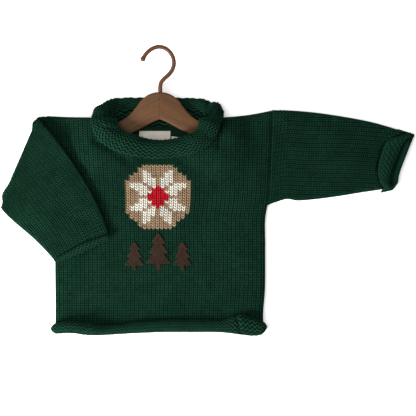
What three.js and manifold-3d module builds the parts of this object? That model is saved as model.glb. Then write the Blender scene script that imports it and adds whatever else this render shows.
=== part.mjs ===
// A child's hand-knitted pullover laid flat on a table with a small wooden hanger in its neck.
// X runs across the body, Y runs from hem to neck and Z is up from the table. Lengths are in mm.
// While the pieces are made X = 0 is the middle of the body and Y = 0 is near the hem; the last
// lines move the whole to the middle of its own footprint.

import * as THREE from "three";
import Module from "manifold-3d";
import { mergeVertices } from "three/addons/utils/BufferGeometryUtils.js";

const WALL = 2.6;
const SEAM_GAP = 0.3;
const ARMHOLE_GAP = 0.85;
const HALF_WALL = WALL / 2;
const BACK_MID = HALF_WALL;
const FRONT_MID = WALL + SEAM_GAP + HALF_WALL;

const NECK_HALF_WIDTH = 72;
const FRONT_NECK_Y = 244.2;
const BACK_NECK_Y = 273.8;
const BACK_NECK_CORNER_Y = 283.5;
const SHOULDER_Y = 287;
const NECK_SQUARENESS = 2.2;
const SHOULDER_OUT = 150;
const SHOULDER_BOW = 1.8;
const LEFT_SHOULDER_RISE = 2.4;
const RIGHT_SHOULDER_RISE = 10;
const BODY_HALF_WIDTH = 149;

const HEM_LIFT = 4.4;
const HEM_LIFT_FROM = 8;
const HEM_LIFT_TO = 45;
const HEM_ROLL_HEIGHT = 4.4;
const HEM_ROLL_TURN = 265;
const HEM_KNOB = { left: 5, right: 3.5, reach: 22 };
const BACK_HEM_RADIUS = 2.2;
const BACK_HEM_TUCK = 15;

const HANGER = {
  halfSpan: 92,
  slope: 27,
  apexY: 285,
  armDepth: 22,
  middleThickness: 9,
  endThickness: 6,
  edgeRound: 2,
  restZ: 3.2,
  restY: 239,
  tilt: 0.08,
};
const HOOK_RADIUS = 2.15;
const RIDGE_FALLOFF = 36;
const RIDGE_CLEAR = 2;

// Shallow waves of cloth that was smoothed by hand: the run of each along x and y, and its start.
const WAVES = [
  { height: 0.3, x: 23, y: 61, start: 0 },
  { height: 0.25, x: -47, y: 27, start: 2 },
];
const WAVE_BASE = 0.25;
const WAVE_EDGE_X = 152;
const WAVE_EDGE_RUN = 30;

// The two long sides of the body.
const SIDES = [
  { y: -5, left: -139, right: 138 },
  { y: 20, left: -138.5, right: 136.5 },
  { y: 60, left: -138.8, right: 139 },
  { y: 120, left: -139.5, right: 140 },
  { y: 172, left: -142, right: 144 },
  { y: 230, left: -147, right: 147 },
  { y: 300, left: -151, right: 149 },
];

// The rolled hem as seen from above: its lower outline and the line where it lies on the front.
const HEM = [
  { x: -142, outer: -1.5, inner: 15.5 },
  { x: -118, outer: 0.8, inner: 16 },
  { x: -96, outer: -1.8, inner: 13.5 },
  { x: -71, outer: -1.6, inner: 9.6 },
  { x: -40, outer: 0.2, inner: 13.4 },
  { x: -10, outer: 1.6, inner: 16.2 },
  { x: 40, outer: 3.2, inner: 17.2 },
  { x: 86, outer: 1.4, inner: 17.6 },
  { x: 109, outer: -1.4, inner: 24.5 },
  { x: 128, outer: -2.6, inner: 17.5 },
  { x: 141, outer: 1.5, inner: 15 },
];

// Long edges of the sleeve that lies straight out: reach runs from the armhole to the cuff.
const RIGHT_SLEEVE = [
  { reach: 0, topX: 149.4, topY: 296.8, lowX: 144.4, lowY: 170.6 },
  { reach: 0.14, topX: 176, topY: 296, lowX: 168.7, lowY: 179 },
  { reach: 0.22, topX: 190.5, topY: 295, lowX: 183, lowY: 177.2 },
  { reach: 0.33, topX: 211, topY: 293, lowX: 206, lowY: 178.6 },
  { reach: 0.52, topX: 247, topY: 287.8, lowX: 240, lowY: 183 },
  { reach: 0.71, topX: 282, topY: 281, lowX: 268, lowY: 187.6 },
  { reach: 0.87, topX: 312, topY: 272.6, lowX: 292, lowY: 191.2 },
  { reach: 1, topX: 338, topY: 264, lowX: 311, lowY: 195 },
];

// The same for the other sleeve before it is folded over.
const LEFT_SLEEVE = [
  { reach: 0, topX: -151, topY: 287.4, lowX: -142.4, lowY: 171.5 },
  { reach: 0.06, topX: -160, topY: 287.2, lowX: -206, lowY: 171.5 },
  { reach: 0.16, topX: -173, topY: 286.8, lowX: -218.5, lowY: 170.2 },
  { reach: 0.3, topX: -203, topY: 285.4, lowX: -233, lowY: 170 },
  { reach: 0.5, topX: -247, topY: 280, lowX: -248, lowY: 171 },
  { reach: 0.7, topX: -286, topY: 272, lowX: -278, lowY: 174.4 },
  { reach: 0.87, topX: -320, topY: 261.4, lowX: -304, lowY: 175.4 },
  { reach: 1, topX: -345, topY: 250, lowX: -319.6, lowY: 174.8 },
];

// The rolled cuffs: width of the roll at the lower and upper long edge, half its height, how far it
// turns, how far back it starts and how much its two ends spread.
const RIGHT_CUFF = {
  lowWidth: 19,
  topWidth: 8.4,
  height: 4.6,
  turn: 262,
  steps: 8,
  setBack: 7,
  flare: 1.2,
};
const LEFT_CUFF = {
  lowWidth: 8.6,
  topWidth: 8.6,
  height: 2.6,
  turn: 240,
  steps: 7,
  setBack: -3,
  flare: 0.5,
};
const CUFF_EDGE_CLIMB = 0.6;
const CUFF_DROOP_SHARE = 0.3;

// How the upper face of each sleeve bellies up: where and how fast it starts, its height, and a
// wave on top of it.
const RIGHT_PUFF = { base: 0.8, rise: 1.6, rate: 2, wave: 0.7, along: 9, across: 4 };
const LEFT_PUFF = { from: 0.34, rise: 1.6, rate: 4, wave: 0.7, along: 11, across: 5 };

// The crease in which that sleeve is folded, as the outline of the fold seen from above.
const FOLD = { topX: -166.7, topY: 281.3, lowX: -212, lowY: 177.3, innerRadius: 1.2 };
const FOLD_SAG = 5.4;
const SAG_RUN = 26;

// The collar is a tube rolled outwards. Each row is one upright cut through it: the point of the
// neckline that it starts from, the way it faces, and five points of its middle line as out (away
// from the neck) and up (above the start): rise, rim, crest, outer edge and the tucked end.
const COLLAR = [
  { turn: -90, x: -2, y: 245.3, outRise: -7, upRise: 3.6, outRim: -11.2, upRim: 9.5,
    outCrest: -1, upCrest: 14.6, outEdge: 11.6, upEdge: 9, outTuck: 6, upTuck: 3.4 },
  { turn: -53, x: 46, y: 253.4, outRise: -10.5, upRise: 3.2, outRim: -15.2, upRim: 8.6,
    outCrest: -2, upCrest: 14.4, outEdge: 11.4, upEdge: 9, outTuck: 6, upTuck: 3.6 },
  { turn: -10, x: 69.8, y: 281.6, outRise: -12.5, upRise: 3.2, outRim: -17.5, upRim: 8.6,
    outCrest: -2, upCrest: 15, outEdge: 10.8, upEdge: 10, outTuck: 5.4, upTuck: 5 },
  { turn: 35, x: 69.4, y: 288.6, outRise: -8, upRise: 4.6, outRim: -9.5, upRim: 10,
    outCrest: 5, upCrest: 15.2, outEdge: 17, upEdge: 9.6, outTuck: 11, upTuck: 4.6 },
  { turn: 74, x: 46, y: 280.4, outRise: 8, upRise: 1.6, outRim: 18, upRim: 4.4,
    outCrest: 26, upCrest: 6.4, outEdge: 32.6, upEdge: 3.2, outTuck: 26, upTuck: 0 },
  { turn: 90, x: -2, y: 274.3, outRise: 11, upRise: 1.4, outRim: 24, upRim: 4.4,
    outCrest: 32.4, upCrest: 5.4, outEdge: 38.4, upEdge: 2.6, outTuck: 31, upTuck: 0 },
  { turn: 106, x: -48, y: 280.6, outRise: 8, upRise: 1.6, outRim: 18, upRim: 4.4,
    outCrest: 26.6, upCrest: 6.4, outEdge: 33.6, upEdge: 3.2, outTuck: 27, upTuck: 0 },
  { turn: 146, x: -69.4, y: 288.6, outRise: -7, upRise: 5, outRim: -8, upRim: 10.4,
    outCrest: 7, upCrest: 15.4, outEdge: 19, upEdge: 9.6, outTuck: 13, upTuck: 4.6 },
  { turn: 189, x: -69.8, y: 281.2, outRise: -10.5, upRise: 3.4, outRim: -15, upRim: 9,
    outCrest: 2.4, upCrest: 16.4, outEdge: 17.6, upEdge: 10.4, outTuck: 11.6, upTuck: 5 },
  { turn: 232, x: -50, y: 255.6, outRise: -9.6, upRise: 3.4, outRim: -14.2, upRim: 8.8,
    outCrest: -0.5, upCrest: 15, outEdge: 14, upEdge: 9.4, outTuck: 8.4, upTuck: 3.8 },
];

const LABEL = { width: 42, height: 20, thickness: 0.5, x: -7, y: 259.6 };
const SIZE_TAB = { width: 13, height: 12, thickness: 0.5, x: 21.6, y: 256.6 };

// A felt fir tree: half its width at heights given as shares of its full height.
const FELT = 1.2;
const TREE_TIERS = [
  { up: 0, half: 0.09 },
  { up: 0.16, half: 0.09 },
  { up: 0.165, half: 0.5 },
  { up: 0.44, half: 0.2 },
  { up: 0.445, half: 0.4 },
  { up: 0.7, half: 0.14 },
  { up: 0.705, half: 0.29 },
  { up: 1, half: 0.015 },
];
const TREES = [
  { name: "felt_tree_left", x: -34, foot: 84, width: 27, height: 38 },
  { name: "felt_tree_middle", x: -2, foot: 84, width: 34, height: 50 },
  { name: "felt_tree_right", x: 30, foot: 84, width: 27, height: 38 },
];

const COLOURS = {
  knit: 0x17382a,
  felt: 0x3c2621,
  wood: 0x7a553c,
  wire: 0x84604a,
  tape: 0xf2efe8,
};

const clamp = (value, low, high) => Math.min(Math.max(value, low), high);
const mix = (a, b, t) => a + (b - a) * t;
const smooth = (t) => {
  const c = clamp(t, 0, 1);
  return c * c * (3 - 2 * c);
};
const radians = (degrees) => (degrees * Math.PI) / 180;
const range = (count) => Array.from({ length: count }, (_, i) => i);

// A table's columns as smooth functions of one of them.
function columnsOf(rows, key) {
  const names = Object.keys(rows[0]).filter((name) => name !== key);
  const keys = rows.map((row) => row[key]);
  const values = rows.flatMap((row) => names.map((name) => row[name]));
  const cubic = new THREE.CubicInterpolant(keys, values, names.length);
  return (at) => {
    const found = cubic.evaluate(clamp(at, keys[0], keys[keys.length - 1]));
    return Object.fromEntries(names.map((name, i) => [name, found[i]]));
  };
}

const sidesAt = columnsOf(SIDES, "y");
const hemAt = columnsOf(HEM, "x");

// A closed wall between two grids of points; around says that each row of points closes on itself.
function wallBetween(outer, inner, around) {
  const rows = outer.length;
  const columns = outer[0].length;
  const points = [...outer.flat(), ...inner.flat()];
  const at = (side, row, column) => side * rows * columns + row * columns + (column % columns);
  const triangles = [];
  const quad = (a, b, c, d) => triangles.push(a, b, c, a, c, d);
  const last = around ? columns : columns - 1;
  for (let row = 0; row < rows - 1; row += 1)
    for (let column = 0; column < last; column += 1) {
      const next = column + 1;
      quad(at(0, row, column), at(0, row, next), at(0, row + 1, next), at(0, row + 1, column));
      quad(at(1, row, column), at(1, row + 1, column), at(1, row + 1, next), at(1, row, next));
    }
  for (let column = 0; column < last; column += 1) {
    quad(at(0, 0, column), at(1, 0, column), at(1, 0, column + 1), at(0, 0, column + 1));
    const end = rows - 1;
    quad(at(0, end, column), at(0, end, column + 1), at(1, end, column + 1), at(1, end, column));
  }
  if (!around)
    for (let row = 0; row < rows - 1; row += 1) {
      const edge = columns - 1;
      quad(at(0, row, 0), at(0, row + 1, 0), at(1, row + 1, 0), at(1, row, 0));
      quad(at(0, row, edge), at(1, row, edge), at(1, row + 1, edge), at(0, row + 1, edge));
    }
  let volume = 0;
  for (let i = 0; i < triangles.length; i += 3) {
    const [a, b, c] = [points[triangles[i]], points[triangles[i + 1]], points[triangles[i + 2]]];
    volume += a.dot(new THREE.Vector3().crossVectors(b, c));
  }
  if (volume < 0) triangles.reverse();
  const geometry = new THREE.BufferGeometry().setFromPoints(points);
  geometry.setIndex(triangles);
  geometry.computeVertexNormals();
  return geometry;
}

// The outer and inner faces of a wall, half its thickness to each side of a grid of middle points.
function thicken(grid, around, facing) {
  const rows = grid.length;
  const columns = grid[0].length;
  const outer = [];
  const inner = [];
  for (let row = 0; row < rows; row += 1) {
    outer.push([]);
    inner.push([]);
    for (let column = 0; column < columns; column += 1) {
      const before = around ? (column + columns - 1) % columns : Math.max(column - 1, 0);
      const after = around ? (column + 1) % columns : Math.min(column + 1, columns - 1);
      const along = grid[row][after].clone().sub(grid[row][before]);
      const up = grid[Math.min(row + 1, rows - 1)][column]
        .clone()
        .sub(grid[Math.max(row - 1, 0)][column]);
      const normal = along.cross(up).normalize().multiplyScalar(facing * HALF_WALL);
      outer[row].push(grid[row][column].clone().add(normal));
      inner[row].push(grid[row][column].clone().sub(normal));
    }
  }
  return [outer, inner];
}

function piece(name, geometry, colour, roughness, metalness = 0) {
  const material = new THREE.MeshStandardMaterial({ color: colour, roughness, metalness });
  const mesh = new THREE.Mesh(geometry, material);
  mesh.name = name;
  return mesh;
}

const knitted = (name, geometry) => piece(name, geometry, COLOURS.knit, 0.9);

// The hanger's underside height and thickness at a point of the plan.
const hangerBottom = (y) => HANGER.restZ + HANGER.tilt * (y - HANGER.restY);
const hangerThickness = (x) =>
  mix(HANGER.middleThickness, HANGER.endThickness, clamp(Math.abs(x) / HANGER.halfSpan, 0, 1));
const armLine = (x) =>
  HANGER.apexY - Math.abs(x) * Math.tan(radians(HANGER.slope)) + HANGER.armDepth / 2;

// How far the front is lifted at a point by the arm of the hanger beneath it.
function ridge(x, y) {
  const reach = clamp(Math.abs(x), 20, HANGER.halfSpan - HANGER.armDepth / 2);
  const slope = radians(HANGER.slope);
  const across = Math.abs(y - armLine(reach)) * Math.cos(slope);
  const beyond = Math.max(Math.abs(x) - reach, 0);
  const away = Math.hypot(across, beyond) - HANGER.armDepth / 2;
  const top = hangerBottom(armLine(reach)) + hangerThickness(reach) + RIDGE_CLEAR;
  return (top + HALF_WALL - FRONT_MID) * smooth(1 - (away - 3) / RIDGE_FALLOFF);
}

const hemLift = (y) => HEM_LIFT * smooth((HEM_LIFT_TO - y) / (HEM_LIFT_TO - HEM_LIFT_FROM));
function ripple(x, y) {
  const swells = WAVES.map((wave) => 1 + Math.sin(x / wave.x + y / wave.y + wave.start));
  const height = WAVES.reduce((sum, wave, i) => sum + wave.height * swells[i], WAVE_BASE);
  return smooth((WAVE_EDGE_X - Math.abs(x)) / WAVE_EDGE_RUN) * height;
}
const frontMid = (x, y) => FRONT_MID + hemLift(y) + ridge(x, y) + ripple(x, y);

const neckShare = (x) => clamp(Math.abs(x) / NECK_HALF_WIDTH, 0, 1);
function shoulderY(x) {
  const out = clamp((Math.abs(x) - NECK_HALF_WIDTH) / (SHOULDER_OUT - NECK_HALF_WIDTH), 0, 1.1);
  return SHOULDER_Y + out ** SHOULDER_BOW * (x > 0 ? RIGHT_SHOULDER_RISE : LEFT_SHOULDER_RISE);
}
function frontTop(x) {
  if (Math.abs(x) >= NECK_HALF_WIDTH) return shoulderY(x);
  const drop = (1 - neckShare(x) ** NECK_SQUARENESS) ** (1 / NECK_SQUARENESS);
  return SHOULDER_Y - (SHOULDER_Y - FRONT_NECK_Y) * drop;
}
function backTop(x) {
  if (Math.abs(x) >= NECK_HALF_WIDTH) return shoulderY(x);
  return BACK_NECK_Y + (BACK_NECK_CORNER_Y - BACK_NECK_Y) * neckShare(x) ** 2;
}

// Columns of a panel as shares of its half width, crowded where the neck meets the shoulders.
const NECK_SHARE = NECK_HALF_WIDTH / BODY_HALF_WIDTH;
const HALF_COLUMNS = [
  0.26 * NECK_SHARE,
  0.5 * NECK_SHARE,
  0.72 * NECK_SHARE,
  0.88 * NECK_SHARE,
  0.97 * NECK_SHARE,
  1.003 * NECK_SHARE,
  0.58,
  0.7,
  0.82,
  0.93,
  1,
];
const COLUMNS = [...HALF_COLUMNS.map((share) => -share).reverse(), 0, ...HALF_COLUMNS];
const FRONT_ROWS = 13;
const ROLL_ROWS = 9;
const BACK_ROWS = 11;

function acrossBody(share, y) {
  const { left, right } = sidesAt(y);
  return mix(left, right, (share + 1) / 2);
}

// The front panel's middle surface from the free edge inside the rolled hem up to neck and shoulders.
function frontGrid() {
  const grid = [];
  for (const step of range(ROLL_ROWS)) {
    const turn = radians(HEM_ROLL_TURN * (1 - step / ROLL_ROWS));
    grid.push(
      COLUMNS.map((share) => {
        const plain = acrossBody(share, 0);
        const { outer, inner } = hemAt(plain);
        const radius = (inner - outer) / 2 - HALF_WALL;
        const knob = share < 0 ? -HEM_KNOB.left : HEM_KNOB.right;
        const endward = smooth(1 - (1 - Math.abs(share)) * (140 / HEM_KNOB.reach));
        const x = plain + knob * endward * Math.sin(Math.min(turn, Math.PI) / 2);
        const y = (inner + outer) / 2 - radius * Math.sin(turn);
        return new THREE.Vector3(x, y, frontMid(plain, 0) + HEM_ROLL_HEIGHT * (1 - Math.cos(turn)));
      }),
    );
  }
  for (const step of range(FRONT_ROWS)) {
    const t = step / (FRONT_ROWS - 1);
    grid.push(
      COLUMNS.map((share) => {
        const { outer, inner } = hemAt(acrossBody(share, 0));
        const guess = mix((outer + inner) / 2, frontTop(acrossBody(share, 250)), t);
        const x = acrossBody(share, guess);
        const y = mix((outer + inner) / 2, frontTop(x), t);
        return new THREE.Vector3(x, y, frontMid(x, y));
      }),
    );
  }
  return grid;
}

// The back panel's middle surface: its hem rolls underneath, flattened by the garment's weight.
function backGrid() {
  const grid = [];
  const centre = { y: BACK_HEM_RADIUS + HALF_WALL + 1, z: BACK_MID + BACK_HEM_RADIUS };
  const profile = [
    { y: BACK_HEM_TUCK, z: BACK_MID },
    ...[-90, -135, 180, 135, 90].map((angle) => ({
      y: centre.y + BACK_HEM_RADIUS * Math.cos(radians(angle)),
      z: centre.z + BACK_HEM_RADIUS * Math.sin(radians(angle)),
    })),
  ];
  for (const { y, z } of profile)
    grid.push(COLUMNS.map((share) => new THREE.Vector3(acrossBody(share, y), y, z)));
  for (const step of range(BACK_ROWS)) {
    const t = ((step + 1) / BACK_ROWS) ** 1.2;
    grid.push(
      COLUMNS.map((share) => {
        const guess = mix(centre.y, backTop(acrossBody(share, 250)), t);
        const x = acrossBody(share, guess);
        const y = mix(centre.y, backTop(x), t);
        return new THREE.Vector3(x, y, BACK_MID + hemLift(y));
      }),
    );
  }
  return grid;
}

// Points round a flattened sleeve: across runs from its lower long edge to its upper one.
const ACROSS = [0.03, 0.11, 0.24, 0.37, 0.5, 0.63, 0.76, 0.89, 0.97];
const RING = [
  { across: 0, face: 0 },
  ...ACROSS.map((across) => ({ across, face: 1 })),
  { across: 1, face: 0 },
  ...ACROSS.toReversed().map((across) => ({ across, face: -1 })),
];
const TUBE_HALF_HEIGHT = (WALL + SEAM_GAP) / 2;
const TUBE_MID = WALL + SEAM_GAP / 2;

// The middle surface of a flattened sleeve. rolled is the face (1 upper, -1 lower) whose cuff edge
// rolls outwards; cuff gives the roll's size at the lower and upper long edges.
function sleeveGrid(table, stations, rolled, cuff, puff) {
  const edgesAt = columnsOf(table, "reach");
  const pointAt = (reach, across) => {
    const edge = edgesAt(reach);
    return {
      x: mix(edge.lowX, edge.topX, across),
      y: mix(edge.lowY, edge.topY, across),
    };
  };
  const length = Math.abs(table[table.length - 1].lowX - table[0].lowX);
  const axis = Math.sign(table[1].lowX);
  const grid = stations.map((station) =>
    RING.map(({ across, face }) => {
      const rollWidth = mix(cuff.lowWidth, cuff.topWidth, across);
      const rolls = face === 0 ? 0.5 : Number(face === rolled);
      const setBack = (rollWidth / 2 + rolls * cuff.setBack) / length;
      const { x: plainX, y } = pointAt(station * (1 - setBack), across);
      const armhole = sidesAt(y)[axis > 0 ? "right" : "left"] + axis * ARMHOLE_GAP;
      const x = mix(plainX, armhole, smooth(1 - station / table[1].reach));
      const lift = face === 0 ? 0 : puff(station, across, face);
      return new THREE.Vector3(x, y, TUBE_MID + face * TUBE_HALF_HEIGHT + lift);
    }),
  );
  for (const step of range(cuff.steps)) {
    const share = (step + 1) / cuff.steps;
    grid.push(
      RING.map(({ across, face }, i) => {
        const end = grid[stations.length - 1][i];
        const rollWidth = mix(cuff.lowWidth, cuff.topWidth, across);
        const rolls = face === 0 ? 0.5 : Number(face === rolled);
        const radius = rollWidth / 2 - HALF_WALL;
        const turn = radians(cuff.turn) * share * rolls;
        const straight = (1 - rolls) * share * rollWidth * 0.5;
        const droop = (table[table.length - 1].topY - table[0].topY) / length;
        const out = radius * Math.sin(turn) + straight;
        const side = face === 0 ? (across === 0 ? -1 : 1) * share * cuff.flare : 0;
        const climb = Math.min(radius, cuff.height) * (1 - Math.cos(turn));
        const up = rolled * climb * (face === 0 ? CUFF_EDGE_CLIMB : 1);
        const y = end.y + out * droop * CUFF_DROOP_SHARE + side;
        return new THREE.Vector3(end.x + axis * out, y, end.z + up);
      }),
    );
  }
  return grid;
}

// The straight sleeve bellies up a little between its long edges.
function rightPuff(station, across, face) {
  if (face <= 0) return 0;
  const { base, rise, rate, wave, along, across: acrossRate } = RIGHT_PUFF;
  const swell = wave * Math.sin(station * along + across * acrossRate);
  return Math.sin(Math.PI * across) * (base + rise * smooth(station * rate) + swell);
}

function rightSleeve() {
  const stations = range(13).map((i) => i / 12);
  const grid = sleeveGrid(RIGHT_SLEEVE, stations, 1, RIGHT_CUFF, rightPuff);
  const [outer, inner] = thicken(grid, true, 1);
  return knitted("sleeve_right", wallBetween(outer, inner, true));
}

// Bends a point of the flat sleeve over the crease and lays the rest down on what is under it.
const foldAxis = new THREE.Vector2(FOLD.lowX - FOLD.topX, FOLD.lowY - FOLD.topY).normalize();
const foldOut = new THREE.Vector2(foldAxis.y, -foldAxis.x);
const FOLD_CENTRE_Z = 2 * WALL + SEAM_GAP + FOLD.innerRadius;
const FOLD_NEUTRAL = FOLD_CENTRE_Z - TUBE_MID;
function foldOver(point) {
  const fromTop = new THREE.Vector2(point.x - FOLD.topX, point.y - FOLD.topY);
  const beyond = fromTop.dot(foldOut) + FOLD_CENTRE_Z;
  if (beyond <= 0) return point;
  const radius = FOLD_CENTRE_Z - point.z;
  const turn = Math.min(beyond / FOLD_NEUTRAL, Math.PI);
  const across = radius * Math.sin(turn) - Math.max(beyond - Math.PI * FOLD_NEUTRAL, 0) - FOLD_CENTRE_Z;
  const along = fromTop.dot(foldAxis);
  const x = FOLD.topX + foldAxis.x * along + foldOut.x * across;
  const y = FOLD.topY + foldAxis.y * along + foldOut.y * across;
  const besideBody = smooth((sidesAt(y).left - 4 - x) / SAG_RUN);
  const underSleeve = smooth((LEFT_SLEEVE[0].lowY - 2 - y) / SAG_RUN);
  const laid = smooth((beyond / FOLD_NEUTRAL - Math.PI) / 2);
  const sag = FOLD_SAG * besideBody * underSleeve * laid;
  return new THREE.Vector3(x, y, FOLD_CENTRE_Z - radius * Math.cos(turn) - sag);
}

// Once folded the lower face is uppermost: it swells softly between its long edges.
function leftPuff(station, across, face) {
  if (face >= 0) return 0;
  const { from, rise, rate, wave, along, across: acrossRate } = LEFT_PUFF;
  const swell = rise + wave * Math.sin(station * along + across * acrossRate);
  return -Math.sin(Math.PI * across) * smooth((station - from) * rate) * swell;
}

function leftSleeve() {
  const beforeFold = [0, 0.02, 0.04];
  const inFold = range(9).map((i) => mix(0.058, 0.162, i / 8));
  const afterFold = [0.22, 0.3, 0.4, 0.5, 0.62, 0.75, 0.88, 1];
  const stations = [...beforeFold, ...inFold, ...afterFold];
  const flat = sleeveGrid(LEFT_SLEEVE, stations, -1, LEFT_CUFF, leftPuff);
  const sides = thicken(flat, true, -1);
  const [outer, inner] = sides.map((grid) => grid.map((row) => row.map(foldOver)));
  return knitted("sleeve_left", wallBetween(outer, inner, true));
}

// The collar's middle surface: rows follow one cut from the neckline to the tucked end.
const COLLAR_STATIONS = 44;
const COLLAR_STEPS = 11;
const COLLAR_CLEAR = 0.8;
const COLLAR_POINTS = ["Rise", "Rim", "Crest", "Edge", "Tuck"];
function collar() {
  const turned = (row, degrees) => ({ ...row, turn: row.turn + degrees });
  const round = [
    ...COLLAR.slice(-2).map((row) => turned(row, -360)),
    ...COLLAR,
    ...COLLAR.slice(0, 2).map((row) => turned(row, 360)),
  ];
  const cutAt = columnsOf(round, "turn");
  const grid = range(COLLAR_STEPS + 1).map(() => []);
  for (const station of range(COLLAR_STATIONS)) {
    const turn = COLLAR[0].turn + (360 * station) / COLLAR_STATIONS;
    const cut = cutAt(turn);
    const onFront = smooth(0.5 - Math.sin(radians(turn)) * 1.4);
    const start = mix(BACK_MID, frontMid(cut.x, cut.y), onFront);
    const middle = new THREE.SplineCurve([
      new THREE.Vector2(0, 0),
      ...COLLAR_POINTS.map((name) => new THREE.Vector2(cut["out" + name], cut["up" + name])),
    ]);
    middle.getPoints(COLLAR_STEPS).forEach((point, i) => {
      const x = cut.x + point.x * Math.cos(radians(turn));
      const y = cut.y + point.x * Math.sin(radians(turn));
      const z = start + point.y;
      const overFront = i > COLLAR_STEPS / 2 && Math.sin(radians(turn)) < 0.75;
      const clear = frontMid(x, y) + WALL + COLLAR_CLEAR;
      grid[i].push(new THREE.Vector3(x, y, overFront ? Math.max(z, clear) : z));
    });
  }
  const [outer, inner] = thicken(grid, true, 1);
  return knitted("collar", wallBetween(outer, inner, true));
}

function panel(name, grid, facing) {
  const [outer, inner] = thicken(grid, false, facing);
  return knitted(name, wallBetween(outer, inner, false));
}

// A felt tree lies on the front: its points are the panel's, moved out by the seam gap.
function tree({ name, x, foot, width, height }) {
  const shares = [-1, -0.5, 0, 0.5, 1];
  const layer = (up) =>
    TREE_TIERS.map((tier) =>
      shares.map((share) => {
        const px = x + share * tier.half * width;
        const py = foot + tier.up * height;
        return new THREE.Vector3(px, py, frontMid(px, py) + HALF_WALL + SEAM_GAP + up);
      }),
    );
  return piece(name, wallBetween(layer(FELT), layer(0), false), COLOURS.felt, 0.95);
}

function tape(name, { width, height, thickness, x, y }) {
  const mesh = piece(name, new THREE.BoxGeometry(width, height, thickness), COLOURS.tape, 0.7);
  mesh.position.set(x, y, WALL + SEAM_GAP + thickness / 2);
  return mesh;
}

const wasm = await Module();
wasm.setup();

// A closed geometry as a solid that can be cut.
function solidFrom(geometry) {
  const bare = new THREE.BufferGeometry();
  const flat = geometry.index ? geometry.toNonIndexed() : geometry;
  bare.setAttribute("position", flat.getAttribute("position").clone());
  const merged = mergeVertices(bare, 1e-4);
  const mesh = new wasm.Mesh({
    numProp: 3,
    vertProperties: merged.attributes.position.array,
    triVerts: new Uint32Array(merged.index.array),
  });
  return new wasm.Manifold(mesh);
}

function geometryFrom(solid) {
  const { vertProperties, triVerts } = solid.getMesh();
  const geometry = new THREE.BufferGeometry();
  geometry.setAttribute("position", new THREE.BufferAttribute(vertProperties, 3));
  geometry.setIndex(new THREE.BufferAttribute(triVerts, 1));
  geometry.computeVertexNormals();
  return geometry;
}

// Half of the hanger's outline in plan: from the crown along the top to the round tip, and back.
const HANGER_HALF = [
  { x: 0, y: 320.6 },
  { x: 8, y: 319.8 },
  { x: 17, y: 316.2 },
  { x: 24.5, y: 310 },
  { x: 31, y: 301.6 },
  { x: 38.5, y: 292.6 },
  { x: 49, y: 284.4 },
  { x: 62, y: 278.1 },
  { x: 83, y: 267.4 },
  { x: 90, y: 257.8 },
  { x: 92, y: 249.5 },
  { x: 88, y: 240.7 },
  { x: 82, y: 243.2 },
  { x: 30, y: 269.7 },
  { x: 6, y: 282.3 },
];
function hangerOutline() {
  const right = HANGER_HALF.map(({ x, y }) => new THREE.Vector2(x, y));
  const left = HANGER_HALF.slice(1).map(({ x, y }) => new THREE.Vector2(-x, y));
  const mitre = new THREE.Vector2(0, HANGER.apexY - 1);
  return new THREE.Shape([...right, mitre, ...left.toReversed()]);
}

// One plate with rounded edges, thinner towards the tips, tilted on the collar, cut at the mitre.
function hangerHalves() {
  const round = HANGER.edgeRound;
  const plate = new THREE.ExtrudeGeometry(hangerOutline(), {
    depth: HANGER.middleThickness - 2 * round,
    bevelThickness: round,
    bevelSize: round,
    bevelOffset: -round,
    bevelSegments: 3,
    curveSegments: 1,
  });
  const position = plate.getAttribute("position");
  for (const i of range(position.count)) {
    const [x, y] = [position.getX(i), position.getY(i)];
    const share = (position.getZ(i) + round) / HANGER.middleThickness;
    position.setZ(i, hangerBottom(y) + share * hangerThickness(x));
  }
  const whole = solidFrom(plate);
  return [
    { name: "hanger_arm_left", side: -1 },
    { name: "hanger_arm_right", side: 1 },
  ].map(({ name, side }) => {
    const keep = new THREE.BoxGeometry(200, 200, 60);
    keep.translate(side * (100 + SEAM_GAP / 2), HANGER.apexY, 10);
    return piece(name, geometryFrom(whole.intersect(solidFrom(keep))), COLOURS.wood, 0.5);
  });
}

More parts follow.
